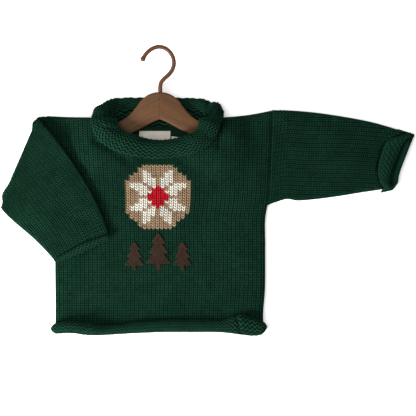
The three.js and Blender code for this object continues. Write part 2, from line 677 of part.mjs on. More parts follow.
// The hook: a straight shank, then three quarters of a turn, with a domed tip.
const HOOK = [
  { x: 0.6, y: 321.2 },
  { x: 0.5, y: 327 },
  { x: 1.6, y: 333.2 },
  { x: 5.6, y: 338.4 },
  { x: 11.6, y: 343.8 },
  { x: 17, y: 351.4 },
  { x: 18.8, y: 360 },
  { x: 16.2, y: 369.6 },
  { x: 9, y: 377.6 },
  { x: -0.8, y: 380.6 },
  { x: -10.6, y: 377.8 },
  { x: -18.6, y: 370.8 },
  { x: -22.4, y: 362.6 },
];
const TIP_DOME = 0.9;
const HOOK_STEPS = 34;
const HOOK_SIDES = 8;
function hook() {
  const lift = (y) => hangerBottom(y) + HANGER.middleThickness / 2;
  const path = new THREE.CatmullRomCurve3(HOOK.map(({ x, y }) => new THREE.Vector3(x, y, lift(y))));
  const length = path.getLength();
  const rings = [];
  for (const step of range(HOOK_STEPS + 1)) {
    const toTip = length * (1 - step / HOOK_STEPS);
    const intoTip = 1 - Math.min(toTip / HOOK_RADIUS, 1);
    const radius = HOOK_RADIUS * Math.sqrt(1 - TIP_DOME * intoTip ** 2);
    const at = path.getPointAt(step / HOOK_STEPS);
    const ahead = path.getTangentAt(step / HOOK_STEPS);
    const side = new THREE.Vector3(0, 0, 1).cross(ahead).normalize();
    const up = new THREE.Vector3().crossVectors(ahead, side);
    rings.push(
      range(HOOK_SIDES).map((i) => {
        const angle = (2 * Math.PI * i) / HOOK_SIDES;
        return at
          .clone()
          .addScaledVector(side, radius * Math.cos(angle))
          .addScaledVector(up, radius * Math.sin(angle));
      }),
    );
  }
  const points = [...rings.flat(), path.getPointAt(0), path.getPointAt(1)];
  const triangles = [];
  const last = rings.length - 1;
  for (const ring of range(last))
    for (const i of range(HOOK_SIDES)) {
      const [a, b] = [ring * HOOK_SIDES + i, ring * HOOK_SIDES + ((i + 1) % HOOK_SIDES)];
      triangles.push(a, b, b + HOOK_SIDES, a, b + HOOK_SIDES, a + HOOK_SIDES);
    }
  for (const i of range(HOOK_SIDES)) {
    const next = (i + 1) % HOOK_SIDES;
    triangles.push(points.length - 2, next, i);
    triangles.push(points.length - 1, last * HOOK_SIDES + i, last * HOOK_SIDES + next);
  }
  const geometry = new THREE.BufferGeometry().setFromPoints(points);
  geometry.setIndex(triangles);
  geometry.computeVertexNormals();
  return piece("hanger_hook", geometry, COLOURS.wire, 0.35, 0.9);
}

const sweater = new THREE.Group();
sweater.add(panel("back_panel", backGrid(), 1));
sweater.add(panel("front_panel", frontGrid(), 1));
sweater.add(rightSleeve());
sweater.add(leftSleeve());
sweater.add(collar());
sweater.add(tape("neck_label", LABEL));
sweater.add(tape("size_tab", SIZE_TAB));
for (const each of TREES) sweater.add(tree(each));
const hanger = new THREE.Group();
hanger.add(...hangerHalves(), hook());
sweater.add(hanger);

// The origin is the middle of the footprint, on the table.
const box = new THREE.Box3().setFromObject(sweater);
const centre = box.getCenter(new THREE.Vector3());
sweater.position.set(-centre.x, -centre.y, -box.min.z);

export default sweater;
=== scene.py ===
# %% [markdown]
# # A child's knitted sweater, laid flat with its hanger
#
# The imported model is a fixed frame: it gives every piece its place, and the collision and the
# weight stay with it. This lesson dresses it. Each piece of cloth is worked out again as a thin
# wall of real stitches on the same form, in millimetres of the garment, and is moved to the
# frame's metres only when its mesh is made.

# %% Load the fixed frame
import math

import bpy
import numpy as np
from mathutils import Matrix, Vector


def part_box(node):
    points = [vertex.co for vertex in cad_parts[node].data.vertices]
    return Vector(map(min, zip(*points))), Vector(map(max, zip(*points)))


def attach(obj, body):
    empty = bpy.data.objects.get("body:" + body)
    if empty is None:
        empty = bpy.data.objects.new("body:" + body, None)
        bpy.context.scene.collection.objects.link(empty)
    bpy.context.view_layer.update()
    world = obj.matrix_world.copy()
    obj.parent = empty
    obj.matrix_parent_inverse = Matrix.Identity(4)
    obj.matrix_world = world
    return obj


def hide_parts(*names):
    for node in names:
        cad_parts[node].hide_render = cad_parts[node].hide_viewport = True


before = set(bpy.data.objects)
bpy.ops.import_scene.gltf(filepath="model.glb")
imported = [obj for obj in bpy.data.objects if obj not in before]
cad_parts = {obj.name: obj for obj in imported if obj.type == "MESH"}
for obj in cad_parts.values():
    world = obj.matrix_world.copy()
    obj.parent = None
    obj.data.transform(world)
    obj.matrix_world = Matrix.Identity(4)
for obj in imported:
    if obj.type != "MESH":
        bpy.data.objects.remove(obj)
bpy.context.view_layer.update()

# %% [markdown]
# ## Sizes of the garment
#
# X = 0 is the middle of the body and Y = 0 is near the hem, with Z up from the table. One corner
# of the neck label, whose place is known in both systems, ties these millimetres to the frame.

# %% Driving sizes, in millimetres
WALL = 2.6
SEAM_GAP = 0.3
BACK_MID = WALL / 2
FRONT_MID = WALL * 1.5 + SEAM_GAP
LABEL_CORNER = np.array([-28.0, 249.6, WALL + SEAM_GAP])
OFFSET = np.array(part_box("neck_label")[0]) * 1000 - LABEL_CORNER
print("garment to frame:", OFFSET.round(3), "mm")

# %% [markdown]
# ## Smooth curves through short tables
#
# A knitter's measurements are a few widths and heights. A cubic through each column of such a
# table gives the edge between them, with no corner at the measured places.

# %% Curves
def smooth(t):
    """An S curve from 0 at t = 0 to 1 at t = 1: t squared times 3 - 2t."""
    t = np.clip(t, 0, 1)
    return t * t * (3 - 2 * t)


def mix(a, b, t):
    """A share t of the way from a to b."""
    return a + (b - a) * t


def bell(away, width):
    """1 in the middle, falling to 1/e at one width away: exp of minus the square."""
    return np.exp(-((away / width) ** 2))


def column(table, key, name, at):
    """The cubic through a table's column, which leaves and reaches each row with the slope
    between its two neighbours."""
    keys, values = np.array(table[key], float), np.array(table[name], float)
    at = np.clip(at, keys[0], keys[-1])
    last = len(keys) - 1
    i = np.clip(np.searchsorted(keys, at, side="right") - 1, 0, last - 1)
    start, end = keys[i], keys[i + 1]
    before = np.where(i == 0, i + 1, i - 1)
    after = np.where(i == last - 1, i, np.minimum(i + 2, last))
    key_before = np.where(i == 0, 2 * start - end, keys[i - 1])
    key_after = np.where(i == last - 1, 2 * end - start, keys[np.minimum(i + 2, last)])
    wp = 0.5 * (end - start) / (start - key_before)
    wn = 0.5 * (end - start) / (key_after - end)
    p = (at - start) / (end - start)
    share_before = -wp * p**3 + 2 * wp * p**2 - wp * p
    share_start = (1 + wp) * p**3 + (-1.5 - 2 * wp) * p**2 + (-0.5 + wp) * p + 1
    share_end = (-1 - wn) * p**3 + (1.5 + wn) * p**2 + 0.5 * p
    share_after = wn * p**3 - wn * p**2
    return (
        share_before * values[before]
        + share_start * values[i]
        + share_end * values[i + 1]
        + share_after * values[after]
    )


print("quarters of an S curve:", smooth(np.array([0.25, 0.5, 0.75])))

# %% [markdown]
# ## The outline of the body
#
# A knitter pins a body out to a few measured widths. Its sides and its hem are short tables here,
# and its neck and shoulders are powers of the distance from the middle. Drawing the outline point
# by point would also work, but then no size could be changed on its own.

# %% The body's sizes
SIDES = {
    "y": [-5, 20, 60, 120, 156, 172, 230, 300],
    "left": [-139, -138.5, -138.8, -139.5, -141, -142, -147, -151],
    "right": [138, 136.5, 139, 139.4, 139.8, 143.6, 147, 149],
}
HEM = {
    "x": [-142, -118, -96, -71, -40, -10, 40, 86, 109, 128, 141],
    "outer": [-0.5, 0.8, -1.8, -1.6, 0.2, 1.6, 3.2, 1.4, -1.4, -2.6, 1.5],
    "inner": [12.2, 16, 13.5, 9.6, 13.4, 16.2, 17.2, 17.6, 24.5, 17.5, 15],
    "height": [5.6, 7, 7, 6, 5, 4.6, 4.6, 4.6, 5.6, 5.2, 4.8],
}
NECK_HALF_WIDTH = 72
FRONT_NECK_Y = 244.2
BACK_NECK_Y = 275.4
BACK_NECK_CORNER_Y = 284.5
SHOULDER_Y = 287
SHOULDER_OUT = 150
NECK_SQUARENESS = 2.2
LEFT_SHOULDER_RISE = 2.4
RIGHT_SHOULDER_RISE = 10
SHOULDER_BOW = 1.8
SHOULDER_BEYOND = 1.1
SIDE_FULLNESS = 1.0
ARMHOLE_LOW_Y, FULLNESS_RUN = 168, 10
CHEST_Y = 150
print("shoulders:", 2 * SHOULDER_OUT, "mm apart")


# %% The body's edges
def side_left(y):
    """The left side at a height: the cubic through its column."""
    return column(SIDES, "y", "left", y)


def side_right(y):
    """The right side at a height: the cubic through its column."""
    return column(SIDES, "y", "right", y)


def shoulder_y(x):
    """The shoulder line: level at the neck and rising outwards by a power of the distance."""
    out = np.clip((np.abs(x) - NECK_HALF_WIDTH) / (SHOULDER_OUT - NECK_HALF_WIDTH), 0, SHOULDER_BEYOND)
    return SHOULDER_Y + out**SHOULDER_BOW * np.where(x > 0, RIGHT_SHOULDER_RISE, LEFT_SHOULDER_RISE)


def front_top(x):
    """The front's upper edge: a superellipse for the neck, then the shoulder line."""
    share = np.clip(np.abs(x) / NECK_HALF_WIDTH, 0, 1)
    drop = (1 - share**NECK_SQUARENESS) ** (1 / NECK_SQUARENESS)
    neck = SHOULDER_Y - (SHOULDER_Y - FRONT_NECK_Y) * drop
    return np.where(np.abs(x) >= NECK_HALF_WIDTH, shoulder_y(x), neck)


def back_top(x):
    """The back's upper edge: a shallow parabola for the neck, then the shoulder line."""
    share = np.clip(np.abs(x) / NECK_HALF_WIDTH, 0, 1)
    neck = BACK_NECK_Y + (BACK_NECK_CORNER_Y - BACK_NECK_Y) * share**2
    return np.where(np.abs(x) >= NECK_HALF_WIDTH, shoulder_y(x), neck)


chest = float(side_right(CHEST_Y) - side_left(CHEST_Y))
print("chest:", round(chest), "mm across")

# %% [markdown]
# ## How the front lies
#
# The front rests on the back, rises over the two arms of the hanger and over the rolled hem, and
# has the shallow waves of cloth that was smoothed by hand. A cloth simulation would also make
# creases, but not these ones, so each is placed one by one: a soft ridge or trough along a line
# between two points.

# %% What lies under the front
HEM_LIFT = 4.4
HEM_LIFT_FROM = 8
HEM_LIFT_TO = 45
HANGER_SPAN = 92
HANGER_SLOPE = math.radians(27)
HANGER_APEX_Y = 285
HANGER_DEPTH = 22
HANGER_THICKNESS = 9
HANGER_TIP_THICKNESS = 6
HANGER_REST_Z = 3.2
HANGER_REST_Y = 239
HANGER_TILT = 0.08
RIDGE_FROM = 20
RIDGE_FLAT = 3
RIDGE_FALLOFF = 36
RIDGE_CLEAR = 2
print("hanger:", 2 * HANGER_SPAN, "mm from tip to tip")


# %% Height over the hanger and the hem
def hanger_bottom(y):
    """The hanger leans on the back collar: its underside climbs by a fixed share of y."""
    return HANGER_REST_Z + HANGER_TILT * (y - HANGER_REST_Y)


def hanger_thickness(x):
    """Thickest in the middle and thinner in a straight line towards the tips."""
    share = np.clip(np.abs(x) / HANGER_SPAN, 0, 1)
    return mix(HANGER_THICKNESS, HANGER_TIP_THICKNESS, share)


def hem_lift(y):
    """How far the rolled hems lift the body: an S curve that falls from the hem upwards."""
    return HEM_LIFT * smooth((HEM_LIFT_TO - y) / (HEM_LIFT_TO - HEM_LIFT_FROM))


def hanger_ridge(x, y):
    """How far the arm beneath lifts the front: full height over it, an S curve away from it."""
    reach = np.clip(np.abs(x), RIDGE_FROM, HANGER_SPAN - HANGER_DEPTH / 2)
    line = HANGER_APEX_Y - reach * math.tan(HANGER_SLOPE) + HANGER_DEPTH / 2
    across = np.abs(y - line) * math.cos(HANGER_SLOPE)
    beyond = np.maximum(np.abs(x) - reach, 0)
    away = np.hypot(across, beyond) - HANGER_DEPTH / 2
    top = hanger_bottom(line) + hanger_thickness(reach) + RIDGE_CLEAR
    return (top + WALL / 2 - FRONT_MID) * smooth(1 - (away - RIDGE_FLAT) / RIDGE_FALLOFF)


print("lift over the hem:", hem_lift(0.0), "mm")

# %% Waves and creases
LOWEST_TROUGH = 0.5
RIPPLE_BASE = 0.25
RIPPLE_EDGE, RIPPLE_EDGE_RUN = 152, 30
RIPPLES = {"height": [0.3, 0.25], "x_run": [23, -47], "y_run": [61, 27], "start": [0, 2]}
CREASES = {
    "x1": [81, -84, 30, -124, -104, -132, 20, -60, 96, -133, 84, 60, -12],
    "y1": [284, 257, 233, 264, 216, 24, 205, 196, 120, 60, 28, 60, 60],
    "x2": [78, -44, 70, -100, -78, -64, 118, -96, 128, -130, 134, 112, 40],
    "y2": [249, 232, 258, 226, 150, 22, 226, 120, 60, 18, 27, 38, 44],
    "width": [2.6, 6.5, 6, 16, 9, 10, 15, 17, 18, 3, 5, 13, 12],
    "height": [-3.0, -3.6, -1.6, -3.6, -2.4, -3.6, 1.2, -1.0, 1.1, -0.9, -1.6, 1.0, -0.8],
}


def ripple(x, y):
    """Two crossing sine waves, each from 0 to twice its height, stilled at the sides."""
    waves = sum(
        height * (1 + np.sin(x / x_run + y / y_run + start))
        for height, x_run, y_run, start in zip(*RIPPLES.values())
    )
    return smooth((RIPPLE_EDGE - np.abs(x)) / RIPPLE_EDGE_RUN) * (RIPPLE_BASE + waves)


def creased(table, x, y):
    """The sum of bell-shaped ridges and troughs about straight lines between two points."""
    total = np.zeros(np.broadcast(x, y).shape)
    for x1, y1, x2, y2, width, height in zip(*table.values()):
        run = np.array([x2 - x1, y2 - y1], float)
        along = np.clip(((x - x1) * run[0] + (y - y1) * run[1]) / run.dot(run), 0, 1)
        away = np.hypot(x - x1 - along * run[0], y - y1 - along * run[1])
        total = total + height * bell(away, width)
    return total


def front_height(x, y):
    """All of these together, never lower than the back allows."""
    resting = FRONT_MID + hem_lift(y)
    plain = resting + hanger_ridge(x, y) + ripple(x, y)
    return np.maximum(plain + creased(CREASES, x, y), resting - LOWEST_TROUGH)


print("front over the hanger:", round(float(front_height(0, 230)), 1), "mm up")

# %% [markdown]
# ## Walls of cloth
#
# A knitted wall has a face that shows, where each stitch needs its own points, and a face that
# hardly shows, where few points do. Both are grids. A strip of triangles zips their borders
# together, so the wall is closed and has a real thickness. Solidify would give both faces the
# same number of points, which is twice as many triangles.

# %% Bottle green
GREEN = "#082b1d"


def linear(hex_colour):
    """An sRGB hex value as linear red, green and blue: the inverse of the sRGB curve."""
    srgb = np.array([int(hex_colour[i : i + 2], 16) / 255 for i in (1, 3, 5)])
    return np.where(srgb <= 0.04045, srgb / 12.92, ((srgb + 0.055) / 1.055) ** 2.4)


print("bottle green, linear:", linear(GREEN).round(4))

# %% Faces and walls
PLAIN_LOFT = 0.5


def cloth_face(points, stitch, loft=PLAIN_LOFT, yarn=None):
    """One face: points, stitch numbers across and along, how high the yarn is, its colour."""
    size = points.shape[:2]
    return {
        "points": points,
        "stitch": np.broadcast_to(stitch, (*size, 2)),
        "loft": np.broadcast_to(loft, size),
        "yarn": np.broadcast_to(linear(GREEN) if yarn is None else yarn, (*size, 3)),
    }


def cells(index):
    """Each cell of a grid of vertex numbers as two triangles."""
    a, b, c, d = index[:-1, :-1], index[:-1, 1:], index[1:, 1:], index[1:, :-1]
    halves = [np.stack([a, b, c], -1), np.stack([a, c, d], -1)]
    return np.concatenate([half.reshape(-1, 3) for half in halves])


def zipped(fine, coarse):
    """The strip between two borders: every fine edge fans to the coarse point level with it,
    and a second triangle fills in where that point changes."""
    level = np.rint(np.arange(len(fine)) * (len(coarse) - 1) / (len(fine) - 1)).astype(int)
    near = coarse[level]
    fans = np.stack([fine[1:], fine[:-1], near[:-1]], -1)
    fills = np.stack([fine[1:], near[:-1], near[1:]], -1)[level[1:] != level[:-1]]
    return np.concatenate([fans, fills])


def wall(outer, inner, around=False):
    """A closed wall between two faces; around says that the last column is the first again."""
    rows, columns = outer["loft"].shape
    fine = np.arange(rows * columns).reshape(rows, columns)
    coarse = fine.size + np.arange(inner["loft"].size).reshape(inner["loft"].shape)
    same = np.arange(fine.size + coarse.size)
    strips = [zipped(fine[0], coarse[0]), zipped(fine[-1, ::-1], coarse[-1, ::-1])]
    if around:
        same[fine[:, -1]] = fine[:, 0]
        same[coarse[:, -1]] = coarse[:, 0]
    else:
        strips += [zipped(fine[:, -1], coarse[:, -1]), zipped(fine[::-1, 0], coarse[::-1, 0])]
    inside = cells(coarse)[:, ::-1]
    triangles = np.concatenate([cells(fine), *strips, inside])
    joined = {
        name: np.concatenate([outer[name].reshape(fine.size, -1), inner[name].reshape(coarse.size, -1)])
        for name in outer
    }
    a, b, c = (joined["points"][triangles[:, k]] for k in range(3))
    if np.sum(a * np.cross(b, c)) < 0:
        triangles = triangles[:, ::-1]
    material = np.zeros(len(triangles), np.int32)
    material[-len(inside) :] = 1
    return {**joined, "triangles": triangles, "same": same, "material": material}


print("a cell of a grid:", len(cells(np.arange(4).reshape(2, 2))), "triangles")

# %% Meshes from walls
MESH_TO_METRES = 0.001


def mesh_piece(name, walls, materials):
    """One object from closed walls: a vertex for each point, stitch numbers as its UV map, and
    the yarn's height and colour as attributes."""
    points, stitch, loft, yarn, triangles, corners, material = [], [], [], [], [], [], []
    first = 0
    for each in walls:
        kept, number = np.unique(each["same"], return_inverse=True)
        points.append(each["points"][kept])
        loft.append(each["loft"][kept].ravel())
        yarn.append(each["yarn"][kept])
        triangles.append(first + number[each["triangles"]])
        stitch.append(each["stitch"][each["triangles"]].reshape(-1, 2))
        material.append(each["material"])
        first += len(kept)
    points, loft, yarn = np.concatenate(points), np.concatenate(loft), np.concatenate(yarn)
    triangles, stitch = np.concatenate(triangles), np.concatenate(stitch)
    mesh = bpy.data.meshes.new(name)
    mesh.vertices.add(len(points))
    mesh.vertices.foreach_set("co", ((points + OFFSET) * MESH_TO_METRES).astype(np.float32).ravel())
    mesh.loops.add(triangles.size)
    mesh.loops.foreach_set("vertex_index", triangles.astype(np.int32).ravel())
    mesh.polygons.add(len(triangles))
    mesh.polygons.foreach_set("loop_start", np.arange(len(triangles), dtype=np.int32) * 3)
    mesh.polygons.foreach_set("material_index", np.concatenate(material))
    mesh.update(calc_edges=True)
    mesh.shade_smooth()
    uv = mesh.uv_layers.new(name="stitches")
    uv.data.foreach_set("uv", stitch.astype(np.float32).ravel())
    height = mesh.attributes.new("loft", "FLOAT", "POINT")
    height.data.foreach_set("value", loft.astype(np.float32))
    colour = mesh.attributes.new("yarn", "FLOAT_COLOR", "POINT")
    colour.data.foreach_set("color", np.c_[yarn, np.ones(len(yarn))].astype(np.float32).ravel())
    for each in materials:
        mesh.materials.append(each)
    piece = bpy.data.objects.new(name, mesh)
    bpy.context.scene.collection.objects.link(piece)
    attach(piece, "root")
    print(f"{name}: {len(points)} points, {len(triangles)} triangles")
    return piece


print("unit of the meshes:", MESH_TO_METRES, "metres")

# %% [markdown]
# ## Two kinds of stitch
#
# Stockinette shows columns of V shapes on its right side. Each V is two legs of yarn, and the
# next V starts inside it. Here a stitch has four columns of points: the gap beside the column, a
# leg, the shallow middle and the other leg. The rows climb towards the gaps, which gives the V
# for few triangles. The wrong side, purl, shows rows of arcs that hook into each other, and it
# turns outwards wherever the edge of the cloth rolls. A bump map would cost nothing, but it leaves
# the outline smooth, and the gaps between such thick stitches have to be dark and deep.

# %% Sizes of the stitches
PER_WALE = 4
PER_COURSE = 4
LEG_PROFILE = np.array([0.0, 1.0, 0.25, 1.0])
ROW_PROFILE = np.array([0.0, 0.85, 1.0, 0.7])
SLANT = 0.9
KNIT_RELIEF = 1.2
KNIT_BASE = 0.5
RESTING_BASE = 0.1
PURL_PER_WALE = 8
PURL_PER_COURSE = 6
PURL_WAVE = 0.36
PURL_BETWEEN = 0.3
PURL_RELIEF = 1.4
PURL_SHARPNESS = 1.9
PURL_BASE = 0.4
INNER_DEPTH = 1.1
AVERAGE_LOFT = 0.45
UNEVEN_KNIT, UNEVEN_PURL = 0.1, 0.07
LEVEL_COURSES = 1.5
TINY = 1e-9
chance = np.random.default_rng(7)
print("triangles in a knitted stitch:", 2 * PER_WALE * PER_COURSE)


# %% Directions and stitches
def facing(points, around=False):
    """Unit normals: the cross product of the steps along the columns and along the rows."""
    if around:
        ring = np.concatenate([points[:, -2:-1], points, points[:, 1:2]], axis=1)
        across = ring[:, 2:] - ring[:, :-2]
    else:
        across = np.gradient(points, axis=1)
    normal = np.cross(across, np.gradient(points, axis=0))
    return normal / np.maximum(np.linalg.norm(normal, axis=2, keepdims=True), TINY)


def stockinette(wales, courses):
    """Stitch numbers u and v of a grid's points, with v climbing towards the gaps between wales
    except at both ends, and the relief from 0 in the gaps to 1 on the legs."""
    i = np.arange(courses * PER_COURSE + 1)[:, None]
    j = np.arange(wales * PER_WALE + 1)[None, :]
    u = np.broadcast_to(j / PER_WALE, (len(i), j.size))
    row = i / PER_COURSE
    ends = smooth(row / LEVEL_COURSES) * smooth((courses - row) / LEVEL_COURSES)
    v = row + SLANT * np.abs(2 * (u % 1) - 1) * ends
    relief = LEG_PROFILE[j % PER_WALE] * ROW_PROFILE[i % PER_COURSE]
    uneven = chance.normal(1, UNEVEN_KNIT, (courses + 1, wales + 1))
    return u, np.minimum(v, courses), relief * uneven[i // PER_COURSE, j // PER_WALE]


def purl(wales, courses):
    """Stitch numbers, and relief as rows of straight zigzags, one to a course, with lower rows
    that bend the other way between them."""
    u = np.arange(wales * PURL_PER_WALE + 1)[None, :] / PURL_PER_WALE
    v = np.arange(courses * PURL_PER_COURSE + 1)[:, None] / PURL_PER_COURSE
    u, v = np.broadcast_arrays(u, v)
    bend = PURL_WAVE * (1 - 4 * np.abs((u + 0.5) % 1 - 0.5))
    rows, between = (0.5 + 0.5 * np.cos(2 * np.pi * at) for at in (v - bend, v + 0.5 + bend))
    uneven = chance.normal(1, UNEVEN_PURL, (courses + 1, wales + 1))
    uneven = uneven[np.floor(v).astype(int), np.floor(u).astype(int)]
    return u, v, np.maximum(rows**PURL_SHARPNESS, PURL_BETWEEN * between**2) * uneven


print("triangles in a purl stitch:", 2 * PURL_PER_WALE * PURL_PER_COURSE)

# %% Stitches pressed together
FLAT_BELOW, FLAT_RUN = 0.3, 0.5


def pressed(at, knee, end, last):
    """Stitches in a straight count up to the knee; what lies between knee and last is pressed
    together so that it stops at end. Also the share that is left of their size."""
    share = (end - knee) / np.maximum(last - knee, TINY)
    beyond = at > knee
    return np.where(beyond, knee + (at - knee) * share, at), np.where(beyond, np.abs(share), 1)


def relief_left(share):
    """What is left of the relief of stitches that are pressed to a share of their size: an S
    curve, which is 0 where they are pressed hardest."""
    return smooth((share - FLAT_BELOW) / FLAT_RUN)


print("relief at half the size:", round(float(relief_left(0.5)), 2))

# %% A wall of stitches
PANEL_STEP, TUBE_STEP, ROLL_STEP, ROUND_STEP = (10, 8), (8, 8), (6, 16), (6, 12)


def knit_wall(
    base, u, v, relief, lift, height, side=1, around=False, step=PANEL_STEP, yarn=None, kept=1.0
):
    """A wall about a smooth middle surface: yarn at lift + height x relief on the side that
    shows, and a plain inner face with every so many rows and columns. Where stitches are
    pressed together, kept says what is left of their relief."""
    normal = facing(base, around) * side
    outer = base + normal * (lift + height * relief * kept)[..., None]
    loft = np.clip(mix(AVERAGE_LOFT, relief, kept), 0, 1)
    stitch = np.stack([u, v], -1)
    rows = np.unique(np.r_[0 : base.shape[0] : step[0], base.shape[0] - 1])
    columns = np.unique(np.r_[0 : base.shape[1] : step[1], base.shape[1] - 1])
    pick = np.ix_(rows, columns)
    inner = (base - normal * INNER_DEPTH)[pick]
    face = cloth_face(outer, stitch, loft, yarn)
    return face, cloth_face(inner, stitch[pick])


print("a panel's inner face: a point every", PANEL_STEP, "rows and columns")

# %% [markdown]
# ## Materials
#
# The sweater is soft matt cotton yarn, dyed bottle green. Yarn has almost no shine. The stitches
# are modelled, so the material only adds what is finer: fuzz, uneven dye, painted shade that makes
# the gaps of a stitch nearly black, painted light on its legs and a painted sheen on their tops.
# A picture of knitting could do it too, but nodes stay sharp at every distance.

# %% Nodes and colours
def add_node(tree, kind, inputs=None, **settings):
    """Adds a node, sets its fields, and fills its sockets with values or with other outputs."""
    made = tree.nodes.new(kind)
    for name, value in settings.items():
        setattr(made, name, value)
    for socket, value in (inputs or {}).items():
        if isinstance(value, bpy.types.NodeSocket):
            tree.links.new(value, made.inputs[socket])
        else:
            made.inputs[socket].default_value = value
    return made


def new_material(name):
    """An empty node material, with its tree."""
    material = bpy.data.materials.new(name)
    material.use_nodes = True
    material.node_tree.nodes.clear()
    return material, material.node_tree


def rgba(hex_colour):
    """A hex value as a linear colour that covers fully."""
    return (*linear(hex_colour), 1.0)


print("white:", np.round(rgba("#ffffff"), 3))

# %% Colour of the yarn
FUZZ_SIZE = 0.0009
FUZZ_HEIGHT = 0.00012
DYE_PATCH = 0.018
DYE_SPREAD, FUZZ_SPREAD = 0.14, 0.2
# Painted shade and light by the yarn's height: the gaps are darkened to GAP_SHADE of the yarn's colour,
# the tops of the legs lightened to LEG_SHADE times it.
GAP_SHADE = 0.1
LEG_SHADE = 1.4
# Painted sheen: grey light added on the tops of the legs, in step with the yarn's height and its shade.
PAINTED_SHEEN_LEVEL = 0.0055
# A wave texture of this scale has one band to a course, because the UV map counts stitches.
ARCS_SCALE = 0.31
ARCS_HEIGHT = 0.0008


def yarn_colour(tree, place):
    """The attribute colour times three shades: painted shade in the gaps and painted light on the
    legs by the yarn's height, then patches of dye, then fibres. A painted sheen of grey light is
    added on the tops of the legs. Also gives the fibres' noise."""
    colour = add_node(tree, "ShaderNodeAttribute", attribute_name="yarn")
    loft = add_node(tree, "ShaderNodeAttribute", attribute_name="loft")
    dye = add_node(
        tree,
        "ShaderNodeTexNoise",
        {"Vector": place.outputs["Object"], "Scale": 1 / DYE_PATCH, "Detail": 3.0},
    )
    fuzz = add_node(
        tree,
        "ShaderNodeTexNoise",
        {"Vector": place.outputs["Object"], "Scale": 1 / FUZZ_SIZE, "Detail": 2.0},
    )
    # Painted shade in the gaps between the legs and painted light on their tops, by the yarn's height.
    depth = add_node(
        tree,
        "ShaderNodeMapRange",
        {
            "Value": loft.outputs["Fac"],
            "From Min": 0.05,
            "From Max": 0.95,
            "To Min": GAP_SHADE,
            "To Max": LEG_SHADE,
        },
    )
    shade = depth.outputs[0]
    for noise, spread in ((dye, DYE_SPREAD), (fuzz, FUZZ_SPREAD)):
        mottle = add_node(
            tree,
            "ShaderNodeMapRange",
            {
                "Value": noise.outputs["Fac"],
                "From Min": 0.3,
                "From Max": 0.7,
                "To Min": 1 - spread,
                "To Max": 1 + spread,
            },
        )
        darker = add_node(
            tree, "ShaderNodeMath", {0: shade, 1: mottle.outputs[0]}, operation="MULTIPLY"
        )
        shade = darker.outputs[0]
    tint = add_node(
        tree,
        "ShaderNodeVectorMath",
        {0: colour.outputs["Color"], "Scale": shade},
        operation="SCALE",
    )
    # Painted sheen on the tops of the legs: grey light added by the yarn's height times its shade.
    sheen_by_height = add_node(
        tree, "ShaderNodeMath", {0: loft.outputs["Fac"], 1: PAINTED_SHEEN_LEVEL}, operation="MULTIPLY"
    )
    leg_top_sheen = add_node(
        tree, "ShaderNodeMath", {0: sheen_by_height.outputs[0], 1: shade}, operation="MULTIPLY"
    )
    sheened_colour = add_node(
        tree, "ShaderNodeVectorMath", {0: tint.outputs[0], 1: leg_top_sheen.outputs[0]}, operation="ADD"
    )
    return sheened_colour.outputs[0], fuzz.outputs["Fac"]


print("dye patches:", DYE_PATCH / MESH_TO_METRES, "mm, fuzz:", FUZZ_SIZE / MESH_TO_METRES, "mm")


# %% Cotton yarn, right side and wrong side
def yarn_material(name, inside):
    """Combed cotton yarn: uneven dye, painted shade between the legs and painted light on them,
    and matt because of its fuzz. The wrong side has the arcs of purl as a bump, because no
    stitches are modelled there."""
    material, tree = new_material(name)
    place = add_node(tree, "ShaderNodeTexCoord")
    colour, relief = yarn_colour(tree, place)
    bump_height = FUZZ_HEIGHT
    if inside:
        arcs = add_node(
            tree,
            "ShaderNodeTexWave",
            {"Vector": place.outputs["UV"], "Scale": ARCS_SCALE, "Distortion": 3.0, "Detail": 1.0},
            bands_direction="Y",
        )
        relief, bump_height = arcs.outputs["Fac"], ARCS_HEIGHT
    bump = add_node(
        tree, "ShaderNodeBump", {"Strength": 0.6, "Distance": bump_height, "Height": relief}
    )
    surface = add_node(
        tree,
        "ShaderNodeBsdfPrincipled",
        {
            "Base Color": colour,
            "Roughness": 0.92,
            "Specular IOR Level": 0.02,
            "Normal": bump.outputs[0],
        },
    )
    add_node(tree, "ShaderNodeOutputMaterial", {"Surface": surface.outputs[0]})
    return material


cotton_right_side = yarn_material("combed cotton yarn, right side", False)
cotton_wrong_side = yarn_material("combed cotton yarn, wrong side", True)
COTTON = [cotton_right_side, cotton_wrong_side]
print("yarn materials:", [each.name for each in COTTON])

# %% [markdown]
# ## The front, its knitted-in design and its rolled hem
#
# The front is 50 wales wide and 85 courses high. Courses above the neckline are pressed together
# under the collar, where nothing shows. The design is knitted in: each stitch has one colour,
# chosen by where its middle lies, so slanting lines get the steps of real colour knitting. Drawn
# in the material instead, it would have sharp edges through the middle of a stitch. It is a plain
# roundel with an eight-petalled star, both of them traditional.

# %% The front's sizes
FRONT_WALES = 50
FRONT_COURSES = 85
FRONT_START_Y = 8.0
FRONT_END_Y = 298.0
COURSE = (FRONT_END_Y - FRONT_START_Y) / FRONT_COURSES
EDGE_RUN = 3.5
FRONT_EDGE_DIP = 1.5
PRESSED_BAND = 2.5
ROUNDEL_WALE, ROUNDEL_COURSE, ROUNDEL_RADIUS = 24, 50, 43
WALE = 5.56
PETAL = 20
AXIS_GAP = 1.6
DIAGONAL_GAP = 2.6
HEART = 16
TAN = "#8d755c"
CREAM = "#cbc5b8"
RED = "#a8101e"
print("stitch:", round(chest / FRONT_WALES, 2), "mm wide,", round(COURSE, 2), "mm high")


